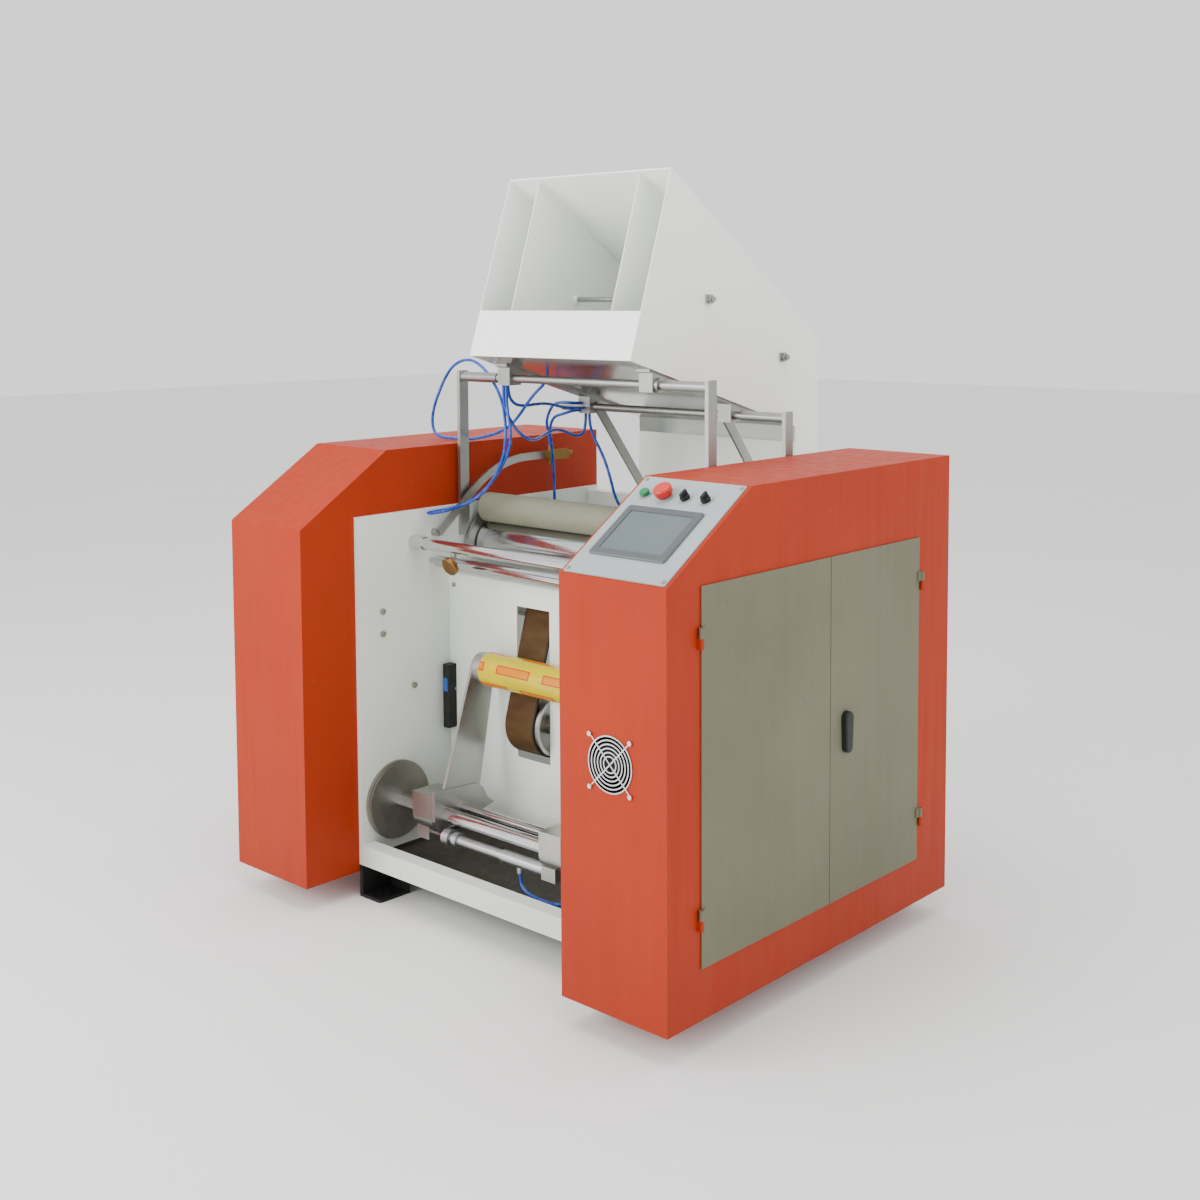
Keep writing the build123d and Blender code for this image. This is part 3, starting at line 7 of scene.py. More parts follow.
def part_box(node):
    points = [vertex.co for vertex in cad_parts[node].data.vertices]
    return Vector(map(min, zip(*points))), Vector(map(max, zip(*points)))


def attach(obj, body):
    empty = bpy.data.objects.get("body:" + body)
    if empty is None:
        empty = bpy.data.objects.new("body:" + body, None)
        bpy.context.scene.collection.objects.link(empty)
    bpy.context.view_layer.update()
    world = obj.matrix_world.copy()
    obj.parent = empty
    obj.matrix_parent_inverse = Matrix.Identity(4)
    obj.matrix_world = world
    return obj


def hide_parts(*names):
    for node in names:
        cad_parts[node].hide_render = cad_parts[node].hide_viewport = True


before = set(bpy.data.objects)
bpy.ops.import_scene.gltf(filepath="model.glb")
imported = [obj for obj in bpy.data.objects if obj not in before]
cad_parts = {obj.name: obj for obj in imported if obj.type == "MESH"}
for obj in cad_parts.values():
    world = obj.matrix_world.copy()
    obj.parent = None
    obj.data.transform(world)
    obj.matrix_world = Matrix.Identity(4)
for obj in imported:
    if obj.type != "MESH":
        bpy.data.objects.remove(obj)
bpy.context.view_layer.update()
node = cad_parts

# --- Camera ---------------------------------------------------------------------------
# It stands in front of the machine and to the right, a little over chest height, and
# looks slightly down at the rollers.
turn, dip, roll = radians(42.5), radians(4.2), radians(-0.3)
camera_place = (2.531, -2.768, 1.47)
ahead = Vector((-sin(turn) * cos(dip), cos(turn) * cos(dip), -sin(dip)))
right = Vector((cos(turn), sin(turn), 0))
above = right.cross(ahead)
right, above = (
    cos(roll) * right + sin(roll) * above,
    cos(roll) * above - sin(roll) * right,
)
bpy.ops.object.select_all(action="DESELECT")
bpy.ops.object.camera_add()
camera = bpy.context.object
facing = Matrix((right, above, -ahead)).transposed().to_4x4()
camera.matrix_world = Matrix.Translation(camera_place) @ facing
camera.data.sensor_width = 36
camera.data.lens = 46.42
camera.data.shift_y = -0.158
bpy.context.scene.camera = camera

# --- Air tubes ------------------------------------------------------------------------
# Blue 8 mm polyurethane air hose. Each run is pushed into a fitting on a hopper mount,
# the valve block or the gripping cylinder, and hangs in its own loose curve.


class Wire:
    """A value in a material, which Python's own operators work on."""

    def __init__(self, tree, socket):
        self.tree, self.socket = tree, socket

    def maths(self, operation, *others):
        made = self.tree.nodes.new("ShaderNodeMath")
        made.operation = operation
        for socket, value in zip(made.inputs, (self, *others)):
            join(self.tree, value, socket)
        return Wire(self.tree, made.outputs[0])

    def __add__(self, other):
        return self.maths("ADD", other)

    def __sub__(self, other):
        return self.maths("SUBTRACT", other)

    def __rsub__(self, other):
        return self.maths("MULTIPLY", -1) + other

    def __mul__(self, other):
        return self.maths("MULTIPLY", other)

    def __truediv__(self, other):
        return self.maths("DIVIDE", other)

    def __gt__(self, other):
        return self.maths("GREATER_THAN", other)

    def __lt__(self, other):
        return self.maths("LESS_THAN", other)


def join(tree, value, socket):
    """Links a wire to a socket, or sets the socket to a plain value."""
    if isinstance(value, Wire):
        tree.links.new(value.socket, socket)
    else:
        socket.default_value = value


soft_reflection = 0.25


class Finish:
    """A material under construction, with its place on the machine as x, y and z."""

    def __init__(self, name):
        self.material = bpy.data.materials.new(name)
        self.material.use_nodes = True
        self.tree = self.material.node_tree
        self.tree.nodes.clear()
        self.place = self.node("ShaderNodeTexCoord", out="Object")
        split = {"Vector": self.place}
        self.x, self.y, self.z = (
            self.node("ShaderNodeSeparateXYZ", sockets=split, out=axis) for axis in "XYZ"
        )

    def node(self, kind, settings=None, sockets=None, out=0):
        """Any node: its settings first, then its sockets, and one output as a wire."""
        made = self.tree.nodes.new(kind)
        for name, value in (settings or {}).items():
            setattr(made, name, value)
        for name, value in (sockets or {}).items():
            join(self.tree, value, made.inputs[name])
        return Wire(self.tree, made.outputs[out])

    def noise(self, scale, detail=3, stretch=(1, 1, 1), rough=0.55):
        """Cloudy noise from 0 to 1, with scale in patches per metre."""
        places = {0: self.place, 1: stretch}
        stretched = self.node("ShaderNodeVectorMath", {"operation": "MULTIPLY"}, places)
        values = {"Vector": stretched, "Scale": scale, "Detail": detail, "Roughness": rough}
        return self.node("ShaderNodeTexNoise", sockets=values)

    def fade(self, value, start, end, low=0.0, high=1.0):
        """A value that goes from low at start to high at end, and stays there."""
        values = {"Value": value, 1: start, 2: end, 3: low, 4: high}
        return self.node("ShaderNodeMapRange", sockets=values)

    def mix(self, share, first, second):
        """Two colours blended by a share from 0 to 1."""
        colours = [c if isinstance(c, Wire) else (*c, 1) for c in (first, second)]
        values = {0: share, 6: colours[0], 7: colours[1]}
        return self.node("ShaderNodeMix", {"data_type": "RGBA"}, values, out=2)

    def surface(self, colour, metal, rough, bump=None, depth=0.0002, **more):
        """The finished shader. bump is a height from 0 to 1, and depth is in metres."""
        shader = self.tree.nodes.new("ShaderNodeBsdfPrincipled")
        colour = colour if isinstance(colour, Wire) else (*colour, 1)
        join(self.tree, colour, shader.inputs["Base Color"])
        join(self.tree, metal, shader.inputs["Metallic"])
        join(self.tree, rough, shader.inputs["Roughness"])
        if bump is not None:
            values = {"Height": bump, "Distance": depth, "Strength": 1.0}
            relief = self.node("ShaderNodeBump", sockets=values)
            join(self.tree, relief, shader.inputs["Normal"])
        shader.inputs["Specular IOR Level"].default_value = soft_reflection
        for name, value in more.items():
            join(self.tree, value, shader.inputs[name.replace("_", " ")])
        output = self.tree.nodes.new("ShaderNodeOutputMaterial")
        self.tree.links.new(shader.outputs[0], output.inputs["Surface"])
        return self.material


def seen(red, green, blue):
    """A colour from 0 to 255, as it is seen, in Blender's linear numbers."""
    shares = [c / 255 for c in (red, green, blue)]
    return tuple(c / 12.92 if c < 0.04 else ((c + 0.055) / 1.055) ** 2.4 for c in shares)


def wear(material, *names):
    """Puts a material on CAD nodes or on new pieces."""
    for name in names:
        piece = node.get(name) or bpy.data.objects[name]
        if not piece.data.materials:
            piece.data.materials.append(material)
        for index in range(len(piece.data.materials)):
            piece.data.materials[index] = material


hose_radius = 0.004
hose = Finish("blue hose")
dull = hose.noise(60)
hose_colour = hose.mix(hose.noise(9), seen(8, 44, 140), seen(24, 78, 176))
hose_colour = hose.mix(hose.fade(dull, 0.45, 0.75), hose_colour, seen(60, 104, 184))
hose_skin = hose.surface(hose_colour, 0.0, hose.fade(dull, 0.3, 0.7, 0.22, 0.42),
                         hose.noise(400), 0.0001, Coat_Weight=0.3)

hose_routes = {
    "loop_tube": [
        (-0.236, -0.093, 1.2524), (-0.236, -0.093, 1.2284), (-0.228, -0.097, 1.186),
        (-0.215, -0.1, 1.149), (-0.214, -0.101, 1.111), (-0.227, -0.102, 1.076),
        (-0.249, -0.103, 1.042), (-0.28, -0.104, 1.006), (-0.318, -0.108, 0.974),
        (-0.353, -0.116, 0.95), (-0.381, -0.136, 0.938), (-0.4, -0.168, 0.932),
        (-0.404, -0.203, 0.93), (-0.393, -0.22, 0.931), (-0.376, -0.226, 0.932),
        (-0.358, -0.22, 0.935), (-0.347, -0.204, 0.938), (-0.344, -0.174, 0.943),
        (-0.339, -0.144, 0.949), (-0.32, -0.124, 0.962), (-0.296, -0.113, 0.985),
        (-0.268, -0.11, 1.015), (-0.245, -0.109, 1.049), (-0.229, -0.108, 1.087),
        (-0.226, -0.106, 1.126), (-0.235, -0.098, 1.16), (-0.255, -0.084, 1.192),
        (-0.28, -0.072, 1.223), (-0.306, -0.066, 1.251), (-0.333, -0.065, 1.279),
        (-0.364, -0.066, 1.302), (-0.401, -0.065, 1.312), (-0.44, -0.062, 1.306),
        (-0.474, -0.059, 1.29), (-0.505, -0.056, 1.26), (-0.53, -0.054, 1.223),
        (-0.553, -0.052, 1.184), (-0.565, -0.05, 1.146), (-0.559, -0.048, 1.112),
        (-0.531, -0.046, 1.102), (-0.49, -0.045, 1.102), (-0.447, -0.046, 1.102),
        (-0.404, -0.045, 1.105), (-0.357, -0.045, 1.115), (-0.31, -0.046, 1.128),
        (-0.271, -0.044, 1.147), (-0.24, -0.042, 1.176), (-0.216, -0.038, 1.207),
        (-0.193, -0.03, 1.235), (-0.17, -0.0223, 1.2547), (-0.17, -0.016, 1.2758),
    ],
    "sag_tube": [
        (-0.246, -0.093, 1.2524), (-0.246, -0.093, 1.2264), (-0.241, -0.092, 1.19),
        (-0.224, -0.088, 1.16), (-0.21, -0.076, 1.133), (-0.205, -0.048, 1.115),
        (-0.215, -0.012, 1.111), (-0.234, 0.026, 1.114), (-0.25, 0.066, 1.122),
        (-0.259, 0.106, 1.128), (-0.259, 0.142, 1.12), (-0.253, 0.174, 1.105),
        (-0.249, 0.201, 1.108), (-0.246, 0.207, 1.1399), (-0.246, 0.207, 1.1659),
    ],
    "cross_tube": [
        (-0.246, -0.077, 1.2524), (-0.246, -0.077, 1.2264), (-0.243, -0.058, 1.201),
        (-0.234, -0.028, 1.197), (-0.232, 0.008, 1.2), (-0.236, 0.048, 1.199),
        (-0.241, 0.088, 1.192), (-0.241, 0.126, 1.182), (-0.232, 0.155, 1.18),
        (-0.232, 0.185, 1.18),
    ],
    "rear_tube_a": [
        (-0.247, 0.185, 1.174), (-0.247, 0.159, 1.174), (-0.269, 0.145, 1.165),
        (-0.296, 0.141, 1.158), (-0.322, 0.154, 1.14), (-0.345, 0.172, 1.114),
        (-0.357, 0.19, 1.079), (-0.364, 0.202, 1.04), (-0.367, 0.209, 1), (-0.368, 0.211, 0.957),
        (-0.366, 0.21, 0.926), (-0.366, 0.21, 0.9),
    ],
    "rear_tube_b": [
        (-0.24, 0.185, 1.193), (-0.24, 0.159, 1.193), (-0.261, 0.148, 1.195),
        (-0.29, 0.147, 1.194), (-0.32, 0.158, 1.185), (-0.353, 0.175, 1.16),
        (-0.375, 0.189, 1.131), (-0.379, 0.207, 1.098), (-0.379, 0.207, 1.07),
    ],
    "side_tube": [
        (-0.222, 0.195, 1.1659), (-0.222, 0.195, 1.1419), (-0.219, 0.205, 1.106),
        (-0.198, 0.208, 1.074), (-0.179, 0.211, 1.037), (-0.165, 0.214, 0.995),
        (-0.159, 0.222, 0.952), (-0.161, 0.246, 0.918), (-0.165, 0.284, 0.9),
        (-0.169, 0.326, 0.892), (-0.164, 0.362, 0.904), (-0.164, 0.39, 0.904),
    ],
    "cylinder_tube": [
        (0.0453, -0.335, 0.149), (0.0453, -0.335, 0.129), (0.0633, -0.341, 0.114),
        (0.0913, -0.342, 0.107), (0.1273, -0.344, 0.106), (0.1633, -0.344, 0.108),
        (0.1913, -0.343, 0.114), (0.2123, -0.338, 0.125), (0.2263, -0.338, 0.14),
        (0.2263, -0.338, 0.159),
    ],
}
for name, route in hose_routes.items():
    bpy.ops.object.select_all(action="DESELECT")
    bpy.ops.curve.primitive_nurbs_path_add()
    line = bpy.context.object
    line.name = name + "_hose"
    line.data.splines.clear()
    spline = line.data.splines.new("NURBS")
    spline.points.add(len(route) - 1)
    for point, place in zip(spline.points, route):
        point.co = (*place, 1)
    spline.order_u = 3
    spline.use_endpoint_u = True
    line.data.dimensions = "3D"
    line.data.resolution_u = 6
    line.data.bevel_depth = hose_radius
    line.data.bevel_resolution = 4
    line.data.use_fill_caps = True
    line.data.materials.append(hose_skin)
    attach(line, "right_carriage" if name == "cylinder_tube" else "frame")
    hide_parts(name)

# --- Cabinets -------------------------------------------------------------------------
# Folded 2 mm sheet steel with an orange powder coat, which shows a fine orange peel,
# faint clouds, rubbed spots all over and a colour that grows darker towards the bottom.


def powder_coat(name, main, worn, rubbed, rough=0.38):
    """Powder coat over sheet steel: fine peel, faint clouds, rubbed spots and a darkening towards
    the bottom.
    """
    paint = Finish(name)
    clouds = paint.mix(paint.fade(paint.noise(2.4, 4), 0.3, 0.7), main, worn)
    spots = paint.fade(paint.noise(46, 5), 0.66, 0.74)
    clouds = paint.mix(spots * 0.25, clouds, rubbed)
    # Darker towards the bottom: below 0.42 m the colour fades towards a darker copy of the main
    # colour.
    darker_low_down = paint.fade(paint.z + paint.noise(7) * 0.12, 0.06, 0.42, 0.35, 0.0)
    colour = paint.mix(darker_low_down, clouds, tuple(c * 0.45 for c in main))
    streaks = paint.noise(5, 4, (8, 8, 0.6))
    shine = paint.fade(streaks, 0.3, 0.75, rough - 0.06, rough + 0.12)
    orange_peel = paint.noise(420, 2)
    return paint.surface(colour, 0.0, shine, orange_peel, 0.00012)


orange = powder_coat("orange powder coat", seen(164, 44, 0), seen(154, 38, 0),
                     seen(178, 84, 36), rough=0.55)
wear(orange, "left_cabinet", "right_cabinet", "door_surround")

# --- Doors ----------------------------------------------------------------------------
# Two leaves in olive grey on the right side, with orange hinge halves and a black
# swing handle.
grey_green = powder_coat("olive grey coat", seen(112, 110, 90), seen(102, 100, 82),
                         seen(134, 133, 116), rough=0.55)
wear(grey_green, "door_front", "door_rear")


def moulded(name, main, second, rough=0.45, grain=500, coat=0.0):
    """Moulded plastic: an even colour, a fine grain and shiny rubbed patches."""
    plastic = Finish(name)
    patches = plastic.noise(30, 4)
    colour = plastic.mix(patches, main, second)
    shine = plastic.fade(patches, 0.35, 0.7, rough + 0.08, rough - 0.08)
    return plastic.surface(colour, 0.0, shine, plastic.noise(grain, 2), 0.00008,
                           Coat_Weight=coat)


black_plastic = moulded("black plastic", seen(24, 24, 25), seen(40, 40, 40))
wear(black_plastic, "door_handle", "fan_frame", "fan_impeller", "selector_left", "selector_right")

# --- Control panel --------------------------------------------------------------------
# A pale steel plate on the shoulder of the right cabinet. It holds a touchscreen, a
# green push button, a red stop button and two black selectors in chrome bezels.
pale_steel = powder_coat("pale panel", seen(160, 168, 168), seen(150, 159, 160),
                         seen(140, 148, 148), rough=0.5)
wear(pale_steel, "control_panel")
slope = radians(32.68)
rim_foot = 1.10508
glass = Finish("touchscreen")
lift = glass.z * cos(slope) - glass.y * sin(slope)
glare = glass.noise(3, 3)
rim_colour = glass.mix(glare, seen(70, 74, 78), seen(84, 88, 92))
picture = glass.mix(glass.fade(glass.noise(2), 0.35, 0.65), seen(96, 106, 109), seen(78, 90, 96))
is_glass = lift < rim_foot
glass_colour = glass.mix(is_glass, rim_colour, picture)
glass_skin = glass.surface(glass_colour, 0.0, is_glass * -0.25 + 0.4, glass.noise(300), 0.00004,
                           Coat_Weight=0.2)
wear(glass_skin, "touchscreen")
wear(moulded("green cap", seen(20, 110, 60), seen(30, 130, 76), rough=0.3, coat=0.3),
     "push_button")
wear(moulded("red cap", seen(190, 30, 24), seen(205, 44, 34), rough=0.3, coat=0.3),
     "estop_button")


def turned(name, main, second, rough, scratch=(1, 40, 40)):
    """Bare metal with fine marks that run round the piece or along it."""
    metal = Finish(name)
    marks = metal.noise(14, 5, scratch)
    clouds = metal.noise(5, 3)
    colour = metal.mix(metal.fade(clouds, 0.3, 0.7), main, second)
    shine = metal.fade(marks, 0.3, 0.7, rough - 0.05, rough + 0.09) + clouds * 0.05
    return metal.surface(colour, 1.0, shine, marks, 0.00003)


chrome = turned("chrome plate", seen(214, 214, 216), seen(196, 197, 200), rough=0.09,
                scratch=(60, 1, 1))
bright_steel = turned("ground steel", seen(186, 186, 182), seen(160, 160, 156),
                      rough=0.3, scratch=(60, 2, 2))
brushed = turned("brushed stainless", seen(176, 177, 173), seen(152, 153, 150),
                 rough=0.34, scratch=(2, 60, 60))
cast_alloy = turned("aluminium", seen(190, 191, 192), seen(168, 169, 170),
                    rough=0.36, scratch=(30, 4, 4))
wear(chrome, "button_bezels", "fan_guard", "guide_roller", "front_guide_bar", "swing_shaft",
     "carriage_rods")

# --- Frame ----------------------------------------------------------------------------
# Welded plates and square tube in pale grey powder coat, on black feet. The motor and
# electrical gear are darker, and the tray's dark grey-brown is painted shade for the inside of
# the frame.
white = powder_coat("white powder coat", seen(226, 232, 224), seen(214, 221, 212),
                    seen(160, 162, 156), rough=0.42)
wear(white, "left_side_plate", "right_side_plate", "cross_beams", "front_panel")
wear(powder_coat("black feet", seen(26, 25, 25), seen(36, 35, 34), seen(70, 68, 64), rough=0.5),
     "feet")
# Painted shade: the tray is dark grey-brown so that the inside of the frame reads as shaded.
wear(powder_coat("painted shade tray", seen(62, 58, 48), seen(50, 47, 40), seen(86, 82, 70), rough=0.5),
     "drip_tray")
wear(powder_coat("motor grey", seen(96, 100, 104), seen(84, 88, 92), seen(120, 122, 124)),
     "drive_motor")
gear = Finish("electrical gear")
mounting_plate_depth = 0.0125
plate_face_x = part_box("electrical_gear")[0].x + mounting_plate_depth
casing = gear.mix(gear.noise(22), seen(74, 77, 80), seen(58, 60, 63))
gear_colour = gear.mix(gear.x > plate_face_x, seen(188, 190, 186), casing)
gear_skin = gear.surface(gear_colour, 0.0, gear.noise(40) * 0.2 + 0.4, gear.noise(300), 0.0001)
wear(gear_skin, "electrical_gear")
wear(moulded("black rubber", seen(28, 28, 28), seen(38, 38, 38), rough=0.7, grain=900),
     "drive_belts")

# --- Hopper ---------------------------------------------------------------------------
# A raised sheet-metal magazine for cores in pale green-grey, with a bright stainless
# floor and adjustable width guides on cross rods.
hopper_coat = powder_coat("hopper coat", seen(252, 255, 250), seen(246, 251, 244),
                          seen(184, 188, 180), rough=0.34)
wear(hopper_coat, "hopper_body", "divider_left", "divider_right")
floor_metal = turned("mirror stainless", seen(188, 190, 186), seen(160, 163, 158),
                     rough=0.16, scratch=(3, 30, 30))
wear(floor_metal, "hopper_floor")
wear(brushed, "hopper_supports", "hopper_rods", "hopper_mounts", "bent_arm")

# --- Rollers --------------------------------------------------------------------------
# A chromed drive roller with a ground rubber pressure roller on top, on steel arms.
wear(chrome, "chrome_roller")
rubber = Finish("ground rubber")
rings = rubber.noise(16, 3, (24, 0.3, 0.3))
smudges = rubber.noise(7, 5)
rubber_colour = rubber.mix(smudges, seen(138, 138, 118), seen(122, 122, 104))
worn_rings = rubber.fade(rings, 0.5, 0.8, 0.0, 0.3)
rubber_colour = rubber.mix(worn_rings, rubber_colour, seen(100, 100, 86))
rubber_skin = rubber.surface(rubber_colour, 0.0, rubber.fade(smudges, 0.3, 0.7, 0.55, 0.75),
                             rings, 0.00015)
wear(rubber_skin, "rubber_roller")
wear(bright_steel, "nip_arms", "belt_roller_upper", "belt_roller_lower", "motor_pulley",
     "left_carriage", "right_carriage")
flange_metal = turned("faced steel", seen(176, 172, 166), seen(140, 136, 130),
                      rough=0.42, scratch=(30, 6, 6))
wear(flange_metal, "shaft_flanges")

# --- Surface belt ---------------------------------------------------------------------
# A woven brown belt with a worn, darker right edge where it tracks on the wheel.
belt_edge_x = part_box("surface_belt")[1].x
worn_from, worn_to = 0.007, 0.003
weave = Finish("woven belt")
thread = weave.noise(260, 2, (1, 0.25, 0.25))
scuff = weave.noise(11, 4, (1, 3, 3))
belt_colour = weave.mix(weave.fade(scuff, 0.3, 0.72), seen(80, 56, 24), seen(64, 42, 18))
dark_edge = weave.fade(weave.x, belt_edge_x - worn_from, belt_edge_x - worn_to)
belt_colour = weave.mix(dark_edge, belt_colour, seen(40, 34, 28))
belt_skin = weave.surface(belt_colour, 0.0, weave.fade(scuff, 0.3, 0.7, 0.62, 0.8),
                          thread, 0.0003)
wear(belt_skin, "surface_belt")

# --- Film roll ------------------------------------------------------------------------
# A finished roll of stretch film on its core, wrapped in yellow with plain orange
# frames in staggered rows. It is held between two aluminium chucks.
roll_low, roll_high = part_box("film_roll")
roll_centre = (roll_low + roll_high) / 2
wrap = Finish("yellow wrap")
around = wrap.node("ShaderNodeMath", {"operation": "ARCTAN2"},
                   {0: wrap.z - roll_centre.z, 1: wrap.y - roll_centre.y})
rows = 5
first_row = 0.32
pitch = 0.155
stagger = 0.37
label_high, label_long = 0.21, 0.36
field_high, field_long = 0.16, 0.335
row_turn = around * (rows / (2 * pi)) + first_row
row_index = row_turn.maths("FLOOR")
across_row = row_turn - row_index
along = (wrap.x - roll_low.x) / pitch + row_index * stagger
across_label = along - along.maths("FLOOR")
frame_high = (across_row - 0.5).maths("ABSOLUTE")
frame_long = (across_label - 0.5).maths("ABSOLUTE")
outside = (frame_high < label_high) * (frame_long < label_long)
inside = (frame_high < field_high) * (frame_long < field_long)
edge = outside * (1 - inside)
folds = wrap.noise(6, 4, (1, 5, 5))
film_yellow = wrap.mix(wrap.fade(folds, 0.3, 0.75), seen(206, 186, 0), seen(186, 166, 0))
film_orange = wrap.mix(wrap.noise(70), seen(222, 120, 20), seen(206, 100, 12))
film_colour = wrap.mix(inside * 0.85, film_yellow, film_orange)
film_colour = wrap.mix(edge, film_colour, seen(184, 50, 4))
film_skin = wrap.surface(film_colour, 0.0, wrap.fade(folds, 0.3, 0.7, 0.16, 0.34), folds, 0.0004,
                         Coat_Weight=0.4)
wear(film_skin, "film_roll")
wear(cast_alloy, "left_chuck", "right_chuck", "grip_cylinder")

# --- Air blocks and sensor ------------------------------------------------------------
# A brass manifold on the bent arm, a valve block on the side plate, and a black web
# sensor with a small blue plate on its front.
wear(turned("cast brass", seen(150, 120, 66), seen(120, 94, 52), rough=0.42), "air_blocks")
wear(black_plastic, "web_sensor")
sensor_low, sensor_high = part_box("web_sensor")


def tile(name, centre, size, bevel, material, body):
    """A small plate with rounded edges, made at its place."""
    bpy.ops.object.select_all(action="DESELECT")
    bpy.ops.mesh.primitive_cube_add(size=1, location=centre, scale=size)
    piece = bpy.context.object
    piece.name = name
    bpy.ops.object.transform_apply(location=True, rotation=True, scale=True)
    bpy.ops.object.mode_set(mode="EDIT")
    bpy.ops.mesh.select_all(action="SELECT")
    bpy.ops.mesh.bevel(offset=bevel, segments=3, affect="EDGES")
    bpy.ops.object.mode_set(mode="OBJECT")
    bpy.ops.object.shade_smooth_by_angle()
    wear(material, name)
    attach(piece, body)


blue_plate = moulded("blue plate", seen(40, 84, 160), seen(52, 98, 176), rough=0.35)
sensor_mid = (sensor_low + sensor_high) / 2
tile("sensor_plate", centre=(sensor_mid.x, sensor_low.y - 0.0005, sensor_mid.z + 0.03),
     size=(0.016, 0.003, 0.034), bevel=0.0008, material=blue_plate, body="frame")

# --- Screws ---------------------------------------------------------------------------
# Zinc-plated hexagon heads on the left side plate and the front panel, and button heads
# at the corners of the control panel.


same_place = 0.00001


def screw(name, centre, along, radius, height, sides=6):
    """A screw head with a chamfered rim and a shallow dimple, facing one way."""
    bpy.ops.object.select_all(action="DESELECT")
    out = Vector(along).normalized()
    middle = Vector(centre) + out * (height / 2)
    bpy.ops.mesh.primitive_cylinder_add(
        vertices=sides, radius=radius, depth=height, location=middle,
        rotation=out.to_track_quat("Z", "Y").to_euler())
    head = bpy.context.object
    head.name = name
    bpy.ops.object.transform_apply(location=True, rotation=True, scale=True)
    bpy.ops.object.mode_set(mode="EDIT")
    bpy.ops.mesh.select_mode(type="FACE")
    bpy.ops.mesh.select_all(action="DESELECT")
    bpy.ops.object.mode_set(mode="OBJECT")
    top = max(face.center.dot(out) for face in head.data.polygons)
    for face in head.data.polygons:
        face.select = face.center.dot(out) > top - same_place
    bpy.ops.object.mode_set(mode="EDIT")
    bpy.ops.mesh.inset(thickness=radius * 0.18, depth=radius * 0.12)
    bpy.ops.mesh.inset(thickness=radius * 0.35, depth=-radius * 0.1)
    bpy.ops.object.mode_set(mode="OBJECT")
    bpy.ops.object.shade_smooth_by_angle()
    return head


def screw_set(name, places, along, radius, height, sides=6):
    """Screws of one kind on the frame, joined as one piece."""
    heads = [screw(f"{name}_{i}", p, along, radius, height, sides) for i, p in enumerate(places)]
    bpy.ops.object.select_all(action="DESELECT")
    for head in heads:
        head.select_set(True)
    bpy.context.view_layer.objects.active = heads[0]
    bpy.ops.object.join()
    heads[0].name = name
    wear(zinc, name)
    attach(heads[0], "frame")


zinc = turned("zinc plate", seen(170, 168, 158), seen(146, 144, 134), rough=0.35,
              scratch=(20, 20, 20))
plate_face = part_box("left_side_plate")[1].x
plate_places = [(-0.356, 0.644), (-0.258, 0.498), (-0.356, 0.70), (0.20, 0.62)]
screw_set("plate_screws", [(plate_face, y, z) for y, z in plate_places], along=(1, 0, 0),
          radius=0.008, height=0.006)

panel_low, panel_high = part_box("front_panel")
edge_across, edge_up = 0.02, 0.03
panel_xs = (panel_low.x + edge_across, panel_high.x - edge_across)
panel_zs = (panel_low.z + edge_up, (panel_low.z + panel_high.z) / 2, panel_high.z - edge_up)
screw_set("panel_screws", [(x, panel_low.y, z) for x in panel_xs for z in panel_zs],
          along=(0, -1, 0), radius=0.006, height=0.004)

control_low, control_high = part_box("control_panel")
control_sheet = 0.003
inset_across, inset_up = 0.008, 0.009
slope_up = Vector((0, cos(slope), sin(slope)))
slope_out = Vector((0, -sin(slope), cos(slope)))
corner = Vector((control_low.x, control_low.y, control_low.z + control_sheet * cos(slope)))
control_width = control_high.x - control_low.x
control_depth = control_high.y - control_low.y - control_sheet * sin(slope)
control_length = control_depth / cos(slope)
corners = [
    corner + Vector((u, 0, 0)) + slope_up * v
    for u in (inset_across, control_width - inset_across)
    for v in (inset_up, control_length - inset_up)
]
screw_set("control_screws", corners, along=slope_out, radius=0.0045, height=0.002, sides=20)

# --- Tension knob and roller ring -----------------------------------------------------
# A bronze knob on a short stud faces down and forwards under the guide bar, where a
# steel lug holds it. A red locking ring sits on the left end of the chrome roller.


def lathe(name, outline, start, along, body, material):
    """A turned piece: an outline of (along the axis, radius) pairs, spun round an axis."""
    bpy.ops.object.select_all(action="DESELECT")
    axis = Vector(along).normalized()
    side = axis.orthogonal().normalized()
    bpy.ops.mesh.primitive_plane_add(size=0.001)
    piece = bpy.context.object
    piece.name = name
    bpy.ops.object.mode_set(mode="EDIT")
    bpy.ops.mesh.select_all(action="SELECT")
    bpy.ops.mesh.delete(type="VERT")
    bpy.ops.object.mode_set(mode="OBJECT")
    points = [Vector(start) + axis * a + side * r for a, r in outline]
    lines = [(i, i + 1) for i in range(len(points) - 1)]
    piece.data.from_pydata(points, lines, [])
    bpy.ops.object.mode_set(mode="EDIT")
    bpy.ops.mesh.select_all(action="SELECT")
    bpy.ops.mesh.spin(steps=48, angle=2 * pi, center=start, axis=axis)
    bpy.ops.mesh.select_all(action="SELECT")
    bpy.ops.mesh.remove_doubles(threshold=same_place)
    bpy.ops.mesh.normals_make_consistent(inside=False)
    bpy.ops.object.mode_set(mode="OBJECT")
    bpy.ops.object.shade_smooth_by_angle()
    wear(material, name)
    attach(piece, body)


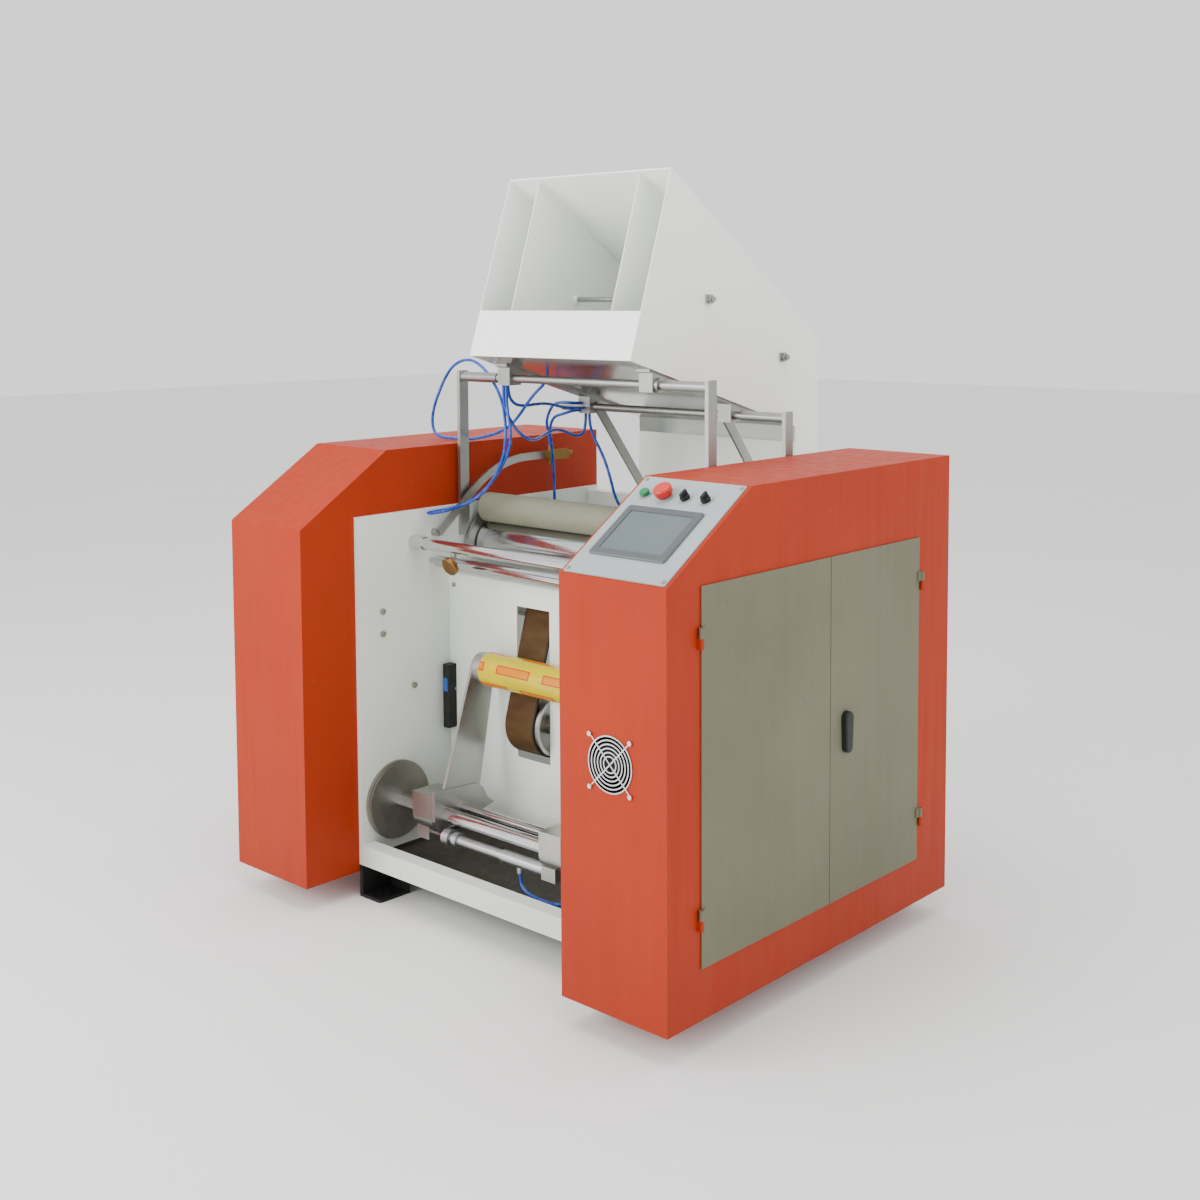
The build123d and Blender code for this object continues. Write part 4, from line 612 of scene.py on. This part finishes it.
bronze = turned("bronze", seen(150, 112, 66), seen(118, 86, 50), rough=0.38,
                scratch=(20, 20, 20))
bar_low, bar_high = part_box("front_guide_bar")
bar_y = (bar_low.y + bar_high.y) / 2
knob_x = -0.266
knob_out = Vector((0, -0.91, -0.41)).normalized()
knob_start = Vector((knob_x, bar_y, bar_low.z - 0.026))
knob_radius, knob_length, knob_chamfer, knob_dish = 0.023, 0.014, 0.002, 0.008
stud_radius, stud_length = 0.006, 0.012
knob_outline = [
    (-stud_length, 0.0),
    (-stud_length, stud_radius),
    (0.0, stud_radius),
    (0.0, knob_radius - 0.003),
    (knob_chamfer, knob_radius),
    (knob_length - knob_chamfer, knob_radius),
    (knob_length, knob_radius - 0.003),
    (knob_length, knob_dish),
    (knob_length - knob_chamfer, 0.0),
]
lathe("tension_knob", knob_outline, start=knob_start, along=knob_out, body="frame",
      material=bronze)
tile("knob_lug", centre=(knob_x, bar_y + 0.004, bar_low.z - 0.012),
     size=(0.012, 0.012, 0.034), bevel=0.002, material=bright_steel, body="frame")

red_ring = moulded("red ring", seen(176, 40, 34), seen(150, 30, 28), rough=0.35)
drum_low, drum_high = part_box("chrome_roller")
drum_axis = (drum_low + drum_high) / 2
ring_x, ring_width, ring_chamfer = -0.402, 0.012, 0.002
ring_bore, ring_radius = 0.0155, 0.032
ring_outline = [
    (0, ring_bore),
    (0, ring_radius - ring_chamfer),
    (ring_chamfer, ring_radius),
    (ring_width - ring_chamfer, ring_radius),
    (ring_width, ring_radius - ring_chamfer),
    (ring_width, ring_bore),
    (0, ring_bore),
]
lathe("roller_ring", ring_outline, start=(ring_x, drum_axis.y, drum_axis.z), along=(1, 0, 0),
      body="chrome_roller", material=red_ring)

# --- Floor and light ------------------------------------------------------------------
# A wide, flat, pale matt floor, soft light from three large panels and an even white sky.
floor_size = 40
sky_strength = 1.35
bpy.ops.object.select_all(action="DESELECT")
bpy.ops.mesh.primitive_plane_add(size=1, location=(0, 0, 0))
floor = bpy.context.object
floor.name = "studio_floor"
floor.scale = (floor_size, floor_size, 1)
bpy.ops.object.transform_apply(location=True, rotation=True, scale=True)
ground = Finish("pale floor")
ground_colour = ground.mix(ground.noise(1.2, 4), seen(240, 240, 238), seen(234, 234, 232))
floor.data.materials.append(ground.surface(ground_colour, 0.0, ground.noise(3) * 0.1 + 0.6))


def panel_light(name, place, aim, width, height, power):
    """A large soft light that faces a point."""
    bpy.ops.object.light_add(type="AREA", location=place)
    lamp = bpy.context.object
    lamp.name = name
    lamp.data.shape = "RECTANGLE"
    lamp.data.size, lamp.data.size_y = width, height
    lamp.data.energy = power
    lamp.rotation_euler = (Vector(aim) - Vector(place)).to_track_quat("-Z", "Y").to_euler()


panel_light("front_light", place=(-1.4, -4.4, 2.4), aim=(0, 0, 0.9), width=3.4, height=2.6,
            power=220)
panel_light("side_light", place=(4.5, -0.5, 2.6), aim=(0, 0, 0.8), width=2.4, height=2.4,
            power=40)
panel_light("top_light", place=(0.3, -0.6, 4.6), aim=(0, 0, 0.5), width=3.0, height=3.0,
            power=90)
world = bpy.data.worlds.new("soft sky")
bpy.context.scene.world = world
world.use_nodes = True
sky = world.node_tree.nodes["Background"]
sky.inputs["Color"].default_value = (1.0, 1.0, 1.0, 1)
sky.inputs["Strength"].default_value = sky_strength
